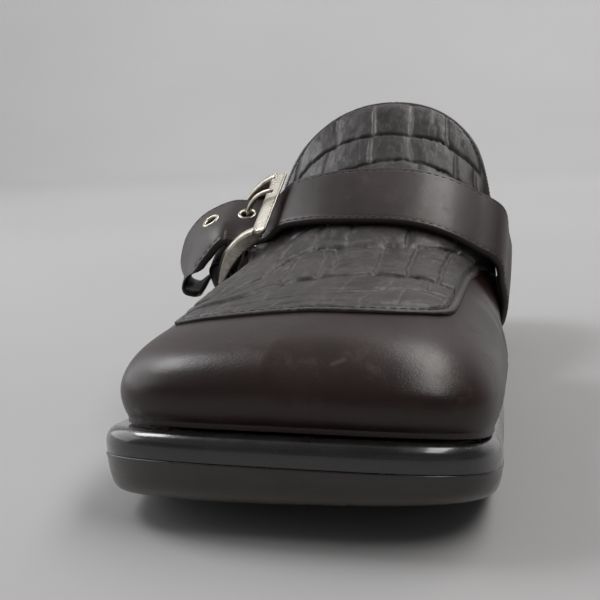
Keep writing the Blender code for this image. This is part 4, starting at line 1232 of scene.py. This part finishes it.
def strap_bed():
    """The line pulled taut over the upper that the strap lies on."""
    rears, fronts, turns = np.linspace(1, 0, 9), np.linspace(FLEX_FROM, TOE_DEPTH, 9)[1:-1], (math.pi / 2,)
    shell = shell_grid(np.linspace(0, 1, 60), rears, fronts, turns).reshape(-1, 3)
    places = np.array([(x, s) for s in np.arange(95, 145, 1.0) for x in np.linspace(-33.5, 34.5, 41)])
    cloud = np.vstack([shell, plug_face(places[:, 0], places[:, 1])])
    x, lift, across = to_strap_frame(cloud)
    near = np.abs(across - strap_middle()) < STRAP_WIDTH / 2 + 3.5
    hull = convex_hull(np.column_stack([x[near], lift[near]]))
    start = int(np.argmin(hull[:, 1] - 0.4 * hull[:, 0]))
    hull = np.roll(hull, -start, axis=0)
    return hull[: int(np.argmax(hull[:, 0] < -27.0))]


def strap_stations(count=64):
    """Middle, width direction, outward direction and half width of the strap at even steps."""
    bed = strap_bed()
    bed = even(np.column_stack([bed, np.zeros(len(bed))]), 40)[:, :2]
    step = np.gradient(bed, axis=0)
    outward = unit(np.column_stack([step[:, 1], -step[:, 0]]))
    middle = bed + outward * (GAP + 0.4 + STRAP_THICK / 2)
    across = strap_middle() - STRAP_SKEW * blend(4, 40, middle[:, 0])
    over = strap_frame(middle[:, 0], middle[:, 1], across)
    ends = np.array(STRAP_END)
    narrowed = STRAP_WIDTH - ends[0, 4]
    rows = [(*p, STRAP_TILT, STRAP_WIDTH - narrowed * float(blend(0, 30, -p[0]))) for p in over[::3]]
    path = smooth_path(np.vstack([rows, ends]), count)
    forward = unit(np.gradient(path[:, :3], axis=0))
    lean = np.radians(path[:, 3])
    way = np.column_stack([-STRAP_TURN * blend(46, 57, -path[:, 0]), np.cos(lean), np.sin(lean)])
    way = unit(way - forward * (way * forward).sum(axis=1)[:, None])
    normal = np.cross(way, forward)
    if normal[count // 3, 2] < 0:
        normal = -normal
    return path[:, :3], way, normal, path[:, 4] / 2


def eyelet_places():
    """Middle, outward axis and width direction of each eyelet, the first where the prong goes through."""
    path, way, normal, _ = strap_stations()
    length = run(path)
    pierced = np.interp(41.3, -path[20:, 0], length[20:])
    places = []
    for at in (pierced, pierced + EYELET_SPACING):
        middle, axis, across = (read_at(at, length, field) for field in (path, normal, way))
        places.append((middle + EYELET_SIDE * unit(across), unit(axis), unit(across)))
    return places


def strip(path, way, normal, half, thickness, name, replaces, relief, across=45, cup=None):
    """A leather strip with rounded, painted edges: relief() shapes its face, cup() bends the whole strip."""
    length = run(path)
    share = 2 * crowded(across, 0.4) - 1
    a = share[None, :] * half[:, None]
    from_side = (1 - np.abs(share))[None, :] * half[:, None]
    end = np.minimum(length, length[-1] - length)
    from_edge = np.minimum(from_side, end[:, None])
    top = thickness / 2 - rim(from_edge, thickness * 0.42) + relief(length[:, None], a, half[:, None])
    low = -thickness / 2 + rim(from_edge, thickness * 0.3)
    base = path[:, None] + way[:, None] * a[..., None]
    if cup is not None:
        base = base + normal[:, None] * cup(path[:, :1], a, half[:, None])[..., None]
    outer = base + normal[:, None] * top[..., None]
    inner = base + normal[:, None] * low[..., None]
    points, faces = solid_from(outer, inner, ("first_row", "last_row", "first_col", "last_col"))
    # The top face takes the strap leather. The edges take the dark edge paint, and so does the back face, as
    # painted shade for the shaded underside.
    face_count = (len(path) - 1) * (across - 1)
    slots = [0] * face_count + [1] * (len(faces) - face_count)
    obj = add_object(name, points, faces, [STRAP_LEATHER, EDGE_PAINT_AND_SHADE], slots, sharp=80)
    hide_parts(replaces)
    return obj


def bisect(obj, origin, away):
    """Trims off what lies past a plane and closes the cut."""
    built = bmesh.new()
    built.from_mesh(obj.data)
    geometry = built.verts[:] + built.edges[:] + built.faces[:]
    origin, tip = place(np.array([origin, np.array(origin) + away]))
    cutting = bmesh.ops.bisect_plane(
        built, geom=geometry, plane_co=origin, plane_no=tip - origin, clear_outer=True, dist=1e-7
    )
    rim_edges = [g for g in cutting["geom_cut"] if isinstance(g, bmesh.types.BMEdge)]
    bmesh.ops.edgenet_fill(built, edges=rim_edges)
    bmesh.ops.recalc_face_normals(built, faces=built.faces)
    built.to_mesh(obj.data)
    built.free()


def sole_plane(along):
    """A point just inside the sole's top near a place, and the direction down out of the shoe there."""
    slope = float(midsole_top(along + 8) - midsole_top(along - 8)) / 16
    return (0.0, along, float(midsole_top(along)) - 0.25), np.array((0.0, slope, -1.0))


def cut(obj, cutter):
    step = obj.modifiers.new("cut", "BOOLEAN")
    step.operation, step.solver, step.object = "DIFFERENCE", "MANIFOLD", cutter
    apply_modifiers(obj)
    bpy.data.objects.remove(cutter, do_unlink=True)


def apply_modifiers(obj):
    graph = bpy.context.evaluated_depsgraph_get()
    done = bpy.data.meshes.new_from_object(obj.evaluated_get(graph), depsgraph=graph)
    old = obj.data
    obj.modifiers.clear()
    obj.data = done
    bpy.data.meshes.remove(old)


def strap_relief(length, a, half):
    """A stitch channel inside each edge, a slight crown, and faint cross wrinkles."""
    channel = -0.12 * bell(half - np.abs(a) - STRAP_SEAM, 0.45) * blend(2, 6, length)
    crown = 0.28 * (1 - (a / half) ** 2)
    where = np.stack(np.broadcast_arrays(length, a), axis=-1)
    ripple = 0.05 * soft_noise(where * np.array([1.0, 0.35]), 7.0, 71, 2)
    return channel + crown + ripple


def strap_cup(x, a, half):
    """The free end is cupped: its front edge droops, most of all past the second eyelet."""
    return -1.9 * blend(32, 47, -x) * np.clip((-a / half - 0.25) / 0.75, 0, 1) ** 1.7


def add_strap():
    path, way, normal, half = strap_stations(300)
    length = run(path)
    obj = strip(path, way, normal, half, STRAP_THICK, "strap_leather", "strap", strap_relief, 49, strap_cup)
    bisect(obj, *sole_plane(STRAP_ROOT))
    for middle, axis, across in eyelet_places():
        circle = middle + EYELET_HOLE * circle_round(axis, across, 40)
        ends = np.concatenate([circle + axis * reach for reach in (-4.0, 4.0)])
        cut(obj, closed_object("hole", ends, tube_faces(2, 40)))
    keep = (length > 8) & (length < length[-1] - 10)
    for side, name in ((-1, "strap_stitches_front"), (1, "strap_stitches_rear")):
        aside = side * (half - STRAP_SEAM)
        rise = STRAP_THICK / 2 - 0.07 + strap_cup(path[:, 0], aside, half)
        line = path + way * aside[:, None] + normal * rise[:, None]
        stitches(name, line[keep], normal[keep], BLACK_THREAD, 2.4, 0.2, long=1.85, rise=0.02)


def add_eyelets():
    """Rolled metal rings set in the strap's holes, from radii and heights over the strap's face."""
    sides = 56
    outline = (
        (EYELET_HOLE - 0.12, -0.8), (EYELET_HOLE - 0.16, -0.1), (EYELET_HOLE - 0.06, 0.28),
        (EYELET_HOLE + 0.2, 0.52), (EYELET_HOLE + 0.5, 0.56), (EYELET_FLANGE - 0.28, 0.48),
        (EYELET_FLANGE - 0.06, 0.32), (EYELET_FLANGE, 0.16), (EYELET_FLANGE - 0.2, -0.05),
        (EYELET_HOLE + 0.1, -0.05), (EYELET_HOLE - 0.04, -0.3), (EYELET_HOLE - 0.04, -0.8),
    )
    for k, (middle, axis, across) in enumerate(eyelet_places()):
        circle = circle_round(axis, across, sides)
        middle = middle + axis * STRAP_THICK / 2
        rings = np.concatenate([middle + r * circle + axis * up for r, up in outline])
        faces = grid_faces(len(outline), sides, wrap=True)
        last = (len(outline) - 1) * sides
        faces += [(i, (i + 1) % sides, last + (i + 1) % sides, last + i) for i in range(sides)]
        obj = add_object(f"eyelet_ring_{k + 1}", rings, faces, [NICKEL], sharp=50)
        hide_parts(f"eyelet_{k + 1}")


# ---------------------------------------------------------------- buckle
def rail_line(share):
    """A side rail's middle as (x, lift), from the far bar to the hinge bar, bulging outward."""
    start, end = np.array(FAR_BAR), np.array(HINGE_BAR)
    way = end - start
    outward = np.array([way[1], -way[0]]) / np.linalg.norm(way)
    return start + way * share + outward * RAIL_BULGE * math.sin(math.pi * share) ** 0.9


def buckle_middle():
    return strap_middle() + BUCKLE_SIDE


def buckle_point(x, lift, across):
    """Like strap_frame, turned a little as the buckle sits askew."""
    return strap_frame(np.asarray(x) + BUCKLE_SKEW * (np.asarray(across) - buckle_middle()), lift, across)


def buckle_way():
    return unit(buckle_point(0.0, 0.0, 1.0) - buckle_point(0.0, 0.0, 0.0))


def prism(outline, lows, shrinks):
    """Points and faces of an (x, lift) outline carried across the strap, drawn in by shrinks on the way."""
    outline = np.asarray(outline, float)
    rings = []
    for across, shrink in zip(lows, shrinks):
        ahead = np.roll(outline, -1, axis=0) - np.roll(outline, 1, axis=0)
        out = unit(np.column_stack([ahead[:, 1], -ahead[:, 0]]))
        if ((outline - outline.mean(axis=0)) * out).sum() < 0:
            out = -out
        moved = outline - out * shrink
        rings.append(buckle_point(moved[:, 0], moved[:, 1], across))
    return np.concatenate(rings), tube_faces(len(rings), len(outline))


def rail_outline():
    shares = np.linspace(0, 1, 40)
    line = np.array([rail_line(s) for s in shares])
    forward = unit(np.gradient(line, axis=0))
    outward = np.column_stack([forward[:, 1], -forward[:, 0]])
    depth = column(RAIL_COLUMNS, RAIL, "depth")(shares)
    outer = line + outward * depth[:, None] / 2
    inner = line - outward * depth[:, None] / 2
    tip = [line[-1] + (outward[-1] * math.cos(t) + forward[-1] * math.sin(t)) * depth[-1] / 2
           for t in np.linspace(0, math.pi, 9)[1:-1]]
    return np.vstack([outer, tip, inner[::-1]])


def add_buckle():
    """Far bar, two arched side rails and the hinge bar, fused into one casting with softened edges."""
    middle = buckle_middle()
    half = BUCKLE_LENGTH / 2
    wide, thick = FAR_BAR_SIZE
    tilt = math.radians(-20)
    turn = full_turn(40)
    bar = []
    for t in turn:
        a = math.copysign(abs(math.cos(t)) ** 0.45, math.cos(t)) * wide / 2
        b = math.copysign(abs(math.sin(t)) ** 0.5, math.sin(t)) * thick / 2
        x = FAR_BAR[0] + a * math.cos(tilt) - b * math.sin(tilt)
        bar.append((x, FAR_BAR[1] - a * math.sin(tilt) + b * math.cos(tilt)))
    pin = np.array(HINGE_BAR) + HINGE_BAR_RADIUS * np.column_stack([np.cos(turn), np.sin(turn)])
    soft = (0.7, 0.3, 0.0)
    parts = [(bar, middle - half + 0.4, middle + half - 0.4), (pin, middle - half + 0.6, middle + half - 0.6)]
    parts += [(rail_outline(), low, low + RAIL_THICK) for low in (middle - half, middle + half - RAIL_THICK)]
    points, faces, start = [], [], 0
    for outline, low, high in parts:
        at = [low, low + 0.25, low + 0.75, high - 0.75, high - 0.25, high]
        some, quads = prism(outline, at, [*soft, *soft[::-1]])
        points.append(some)
        faces += [tuple(i + start for i in face) for face in quads]
        start += len(some)
    obj = closed_object("buckle_metal", np.concatenate(points), faces)
    obj.data.materials.append(NICKEL)
    fused = obj.modifiers.new("fuse", "REMESH")
    fused.mode, fused.voxel_size, fused.use_smooth_shade = "VOXEL", 0.00021, True
    smooth = obj.modifiers.new("soften", "SMOOTH")
    smooth.factor, smooth.iterations = 0.5, 4
    apply_modifiers(obj)
    obj.data.shade_smooth()
    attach(obj, "root")
    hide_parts("buckle_frame")


def add_prong():
    """A tapered prong, eyed round the hinge bar, up through the strap and over the far bar."""
    middle = buckle_middle()
    hx, hl = HINGE_BAR
    eye = HINGE_BAR_RADIUS + GAP + PRONG_RADIUS
    loop = [(hx + eye * math.cos(a), hl + eye * math.sin(a)) for a in np.radians(np.linspace(95, 335, 14))]
    route = loop + [
        (-44.2, -22.5), (-42.6, -18.6), (-41.4, -15.4), (-40.7, -12.4),
        (-39.2, -9.2), (-36.9, -6.4), (-34.2, -4.7), (-31.2, -3.8),
    ]
    path = smooth_path([(x, lift, 0.0) for x, lift in route], 120)
    points = buckle_point(path[:, 0], path[:, 1], middle + PRONG_SIDE)
    share = np.linspace(0, 1, len(path))
    radii = PRONG_RADIUS * (1 - 0.3 * blend(0.6, 1.0, share))
    radii = radii * np.sqrt(np.clip(1 - np.clip((share - 0.985) / 0.016, 0, 1) ** 2, 0.05, 1))
    along = unit(np.gradient(points, axis=0))
    side_way = buckle_way()
    up = unit(np.cross(side_way, along))
    turn = full_turn(24)
    sections = [
        p + r * (np.outer(np.cos(turn) * 1.1, side_way) + np.outer(np.sin(turn) * 0.9, u))
        for p, r, u in zip(points, radii, up)
    ]
    faces = tube_faces(len(sections), 24)
    obj = add_object("prong_metal", np.concatenate(sections), faces, [NICKEL])
    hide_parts("buckle_prong")


def add_chape():
    """The short lateral strap: up the wall from the sole and round the hinge bar, slotted for the prong."""
    middle = buckle_middle()
    hx, hl = HINGE_BAR
    thick = 2.0
    eye = HINGE_BAR_RADIUS + GAP + thick / 2
    loop = [(hx + eye * math.cos(a), hl + eye * math.sin(a)) for a in np.radians(np.linspace(-40, 190, 14))]
    route = [(-45.7, -34.5)] + loop + [
        (-50.3, -32.0), (-48.5, -37.5), (-46.7, -41.5), (-45.3, -45.0),
        (-44.0, -50.0), (-42.4, -54.5), (-40.8, -58.5),
    ]
    path = smooth_path([(x, lift, 0.0) for x, lift in route], 150)
    points = buckle_point(path[:, 0], path[:, 1], middle)
    forward = unit(np.gradient(points, axis=0))
    way = np.tile(buckle_way(), (len(points), 1))
    normal = np.cross(way, forward)
    inside = BUCKLE_LENGTH / 2 - RAIL_THICK - GAP - 0.6

    def relief(length, a, half):
        bulk = 1.5 * blend(10, 15, length) * (1 - blend(22, 32, length))
        return bulk - 0.18 * bell(half - np.abs(a) - 1.8, 0.45) + 0.1 * (1 - (a / half) ** 2)

    half = np.full(len(points), inside)
    obj = strip(points, way, normal, half, thick, "chape_leather", "chape", relief)
    slot_half = PRONG_RADIUS + 0.8
    outline = [(hx - 6, hl + 6), (hx - 6, hl - 4.4), (hx + 8, hl - 4.4), (hx + 8, hl + 6)]
    low, high = middle + PRONG_SIDE - slot_half, middle + PRONG_SIDE + slot_half
    cut(obj, closed_object("slot", *prism(outline, (low, high), (0.0, 0.0))))
    bisect(obj, *sole_plane(STRAP_ROOT))


# ---------------------------------------------------------------- stage, light, camera
FLOOR_RADIUS, FLOOR_BEND, WALL_TOP = 1.4, 0.7, 0.85
FLOOR_DROP = 0.0002


def add_stage():
    """A pale paper sweep: a round floor turned up all round into a wall, so every view has a plain ground."""
    profile = [(r, 0.0) for r in (0.25, 0.5, 0.8, 1.1, FLOOR_RADIUS)]
    for angle in np.radians(np.linspace(0, 90, 31))[1:]:
        profile.append((FLOOR_RADIUS + FLOOR_BEND * math.sin(angle), FLOOR_BEND * (1 - math.cos(angle))))
    profile.append((FLOOR_RADIUS + FLOOR_BEND, WALL_TOP))
    sides = 96
    turn = full_turn(sides)
    points = [(r * math.cos(t), r * math.sin(t), z - FLOOR_DROP) for r, z in profile for t in turn]
    points.append((0.0, 0.0, -FLOOR_DROP))
    faces = grid_faces(len(profile), sides, wrap=True)
    faces += [((i + 1) % sides, i, len(points) - 1) for i in range(sides)]
    mesh = bpy.data.meshes.new("sweep")
    mesh.from_pydata(points, [], faces)
    mesh.shade_smooth()
    s = Surface("paper_sweep", Specular_IOR_Level=0.2)
    tone = s.noise(2.5, 3.0, 0.5)
    colour = s.mix(s.ranged(tone, 0.3, 0.7), (0.385, 0.38, 0.381), (0.405, 0.4, 0.401))
    roughness = s.ranged(tone, 0.3, 0.7, 0.55, 0.65)
    mesh.materials.append(s.finish(colour, roughness, s.bump(s.noise(900.0), 0.00002, 0.2)))
    obj = linked("sweep", mesh)


def stand(obj, spot, right, up, back):
    """Puts a light or the camera at a spot; it looks away from its back."""
    rows = np.column_stack([right, up, back, spot])
    obj.matrix_world = Matrix([tuple(row) for row in rows] + [(0, 0, 0, 1)])


def add_softbox(name, spot, target, size, power, tint=(1.0, 1.0, 1.0)):
    data = bpy.data.lights.new(name, "AREA")
    data.shape = "RECTANGLE"
    data.size, data.size_y = size
    data.energy = power
    data.color = tint
    back = unit(np.array(spot, float) - target)
    right = unit(np.cross((0, 0, 1) if abs(back[2]) < 0.99 else (0, 1, 0), back))
    stand(linked(name, data), spot, right, np.cross(back, right), back)


def add_lights():
    """A soft room, brightest low on the left, softboxes over both sides, and a wash on the sweep behind."""
    world = bpy.data.worlds.new("soft_room")
    world.use_nodes = True
    tree = world.node_tree
    background = tree.nodes["Background"]
    background.inputs["Color"].default_value = (0.97, 0.98, 1.0, 1.0)
    direction = tree.nodes.new("ShaderNodeTexCoord")
    towards = tree.nodes.new("ShaderNodeVectorMath")
    towards.operation = "DOT_PRODUCT"
    towards.inputs[1].default_value = (-0.75, 0.4, -0.4)
    strength = tree.nodes.new("ShaderNodeMapRange")
    for socket, value in (("From Min", -0.95), ("From Max", 0.95), ("To Min", 0.06), ("To Max", 0.52)):
        strength.inputs[socket].default_value = value
    tree.links.new(direction.outputs["Generated"], towards.inputs[0])
    tree.links.new(towards.outputs["Value"], strength.inputs["Value"])
    tree.links.new(strength.outputs["Result"], background.inputs["Strength"])
    bpy.context.scene.world = world
    aim = (0.02, -0.08, 0.03)
    add_softbox("right_strip", (0.47, 0.06, 1.08), aim, (1.7, 0.32), 11.0, (1.0, 0.985, 0.96))
    add_softbox("left_strip", (-0.74, 0.06, 0.90), aim, (0.5, 0.34), 5.4, (0.97, 0.98, 1.0))
    add_softbox("left_low", (-1.2, 0.1, 0.45), aim, (1.4, 0.8), 6.0, (0.97, 0.98, 1.0))
    add_softbox("wall_wash", (0.0, 1.15, 1.25), (0.0, 2.0, 0.25), (2.6, 0.5), 23.0)


CAMERA_PLACE = (55.07, -198.95, 88.56)
CAMERA_YAW, CAMERA_PITCH, CAMERA_ROLL = 14.24, 9.68, -1.45
LENS = 62.2


def add_camera():
    yaw, pitch, roll = (math.radians(a) for a in (CAMERA_YAW, CAMERA_PITCH, CAMERA_ROLL))
    level = np.array((math.cos(yaw), math.sin(yaw), 0.0))
    ahead = np.array((-math.sin(yaw), math.cos(yaw), 0.0))
    top = np.array((0.0, 0.0, 1.0))
    forward = ahead * math.cos(pitch) - top * math.sin(pitch)
    above = ahead * math.sin(pitch) + top * math.cos(pitch)
    right = level * math.cos(roll) + above * math.sin(roll)
    up = -level * math.sin(roll) + above * math.cos(roll)
    data = bpy.data.cameras.new("camera")
    data.lens = LENS
    data.sensor_width = 36.0
    data.clip_start, data.clip_end = 0.01, 20.0
    obj = linked("camera", data)
    stand(obj, place(CAMERA_PLACE), right, up, -forward)
    bpy.context.scene.camera = obj
    bpy.context.scene.view_settings.view_transform = "Standard"


add_camera()
add_lights()
add_stage()
add_outsole()
add_welt()
add_heel()
add_insole()
add_upper()
add_plug()
add_strap()
add_eyelets()
add_buckle()
add_prong()
add_chape()
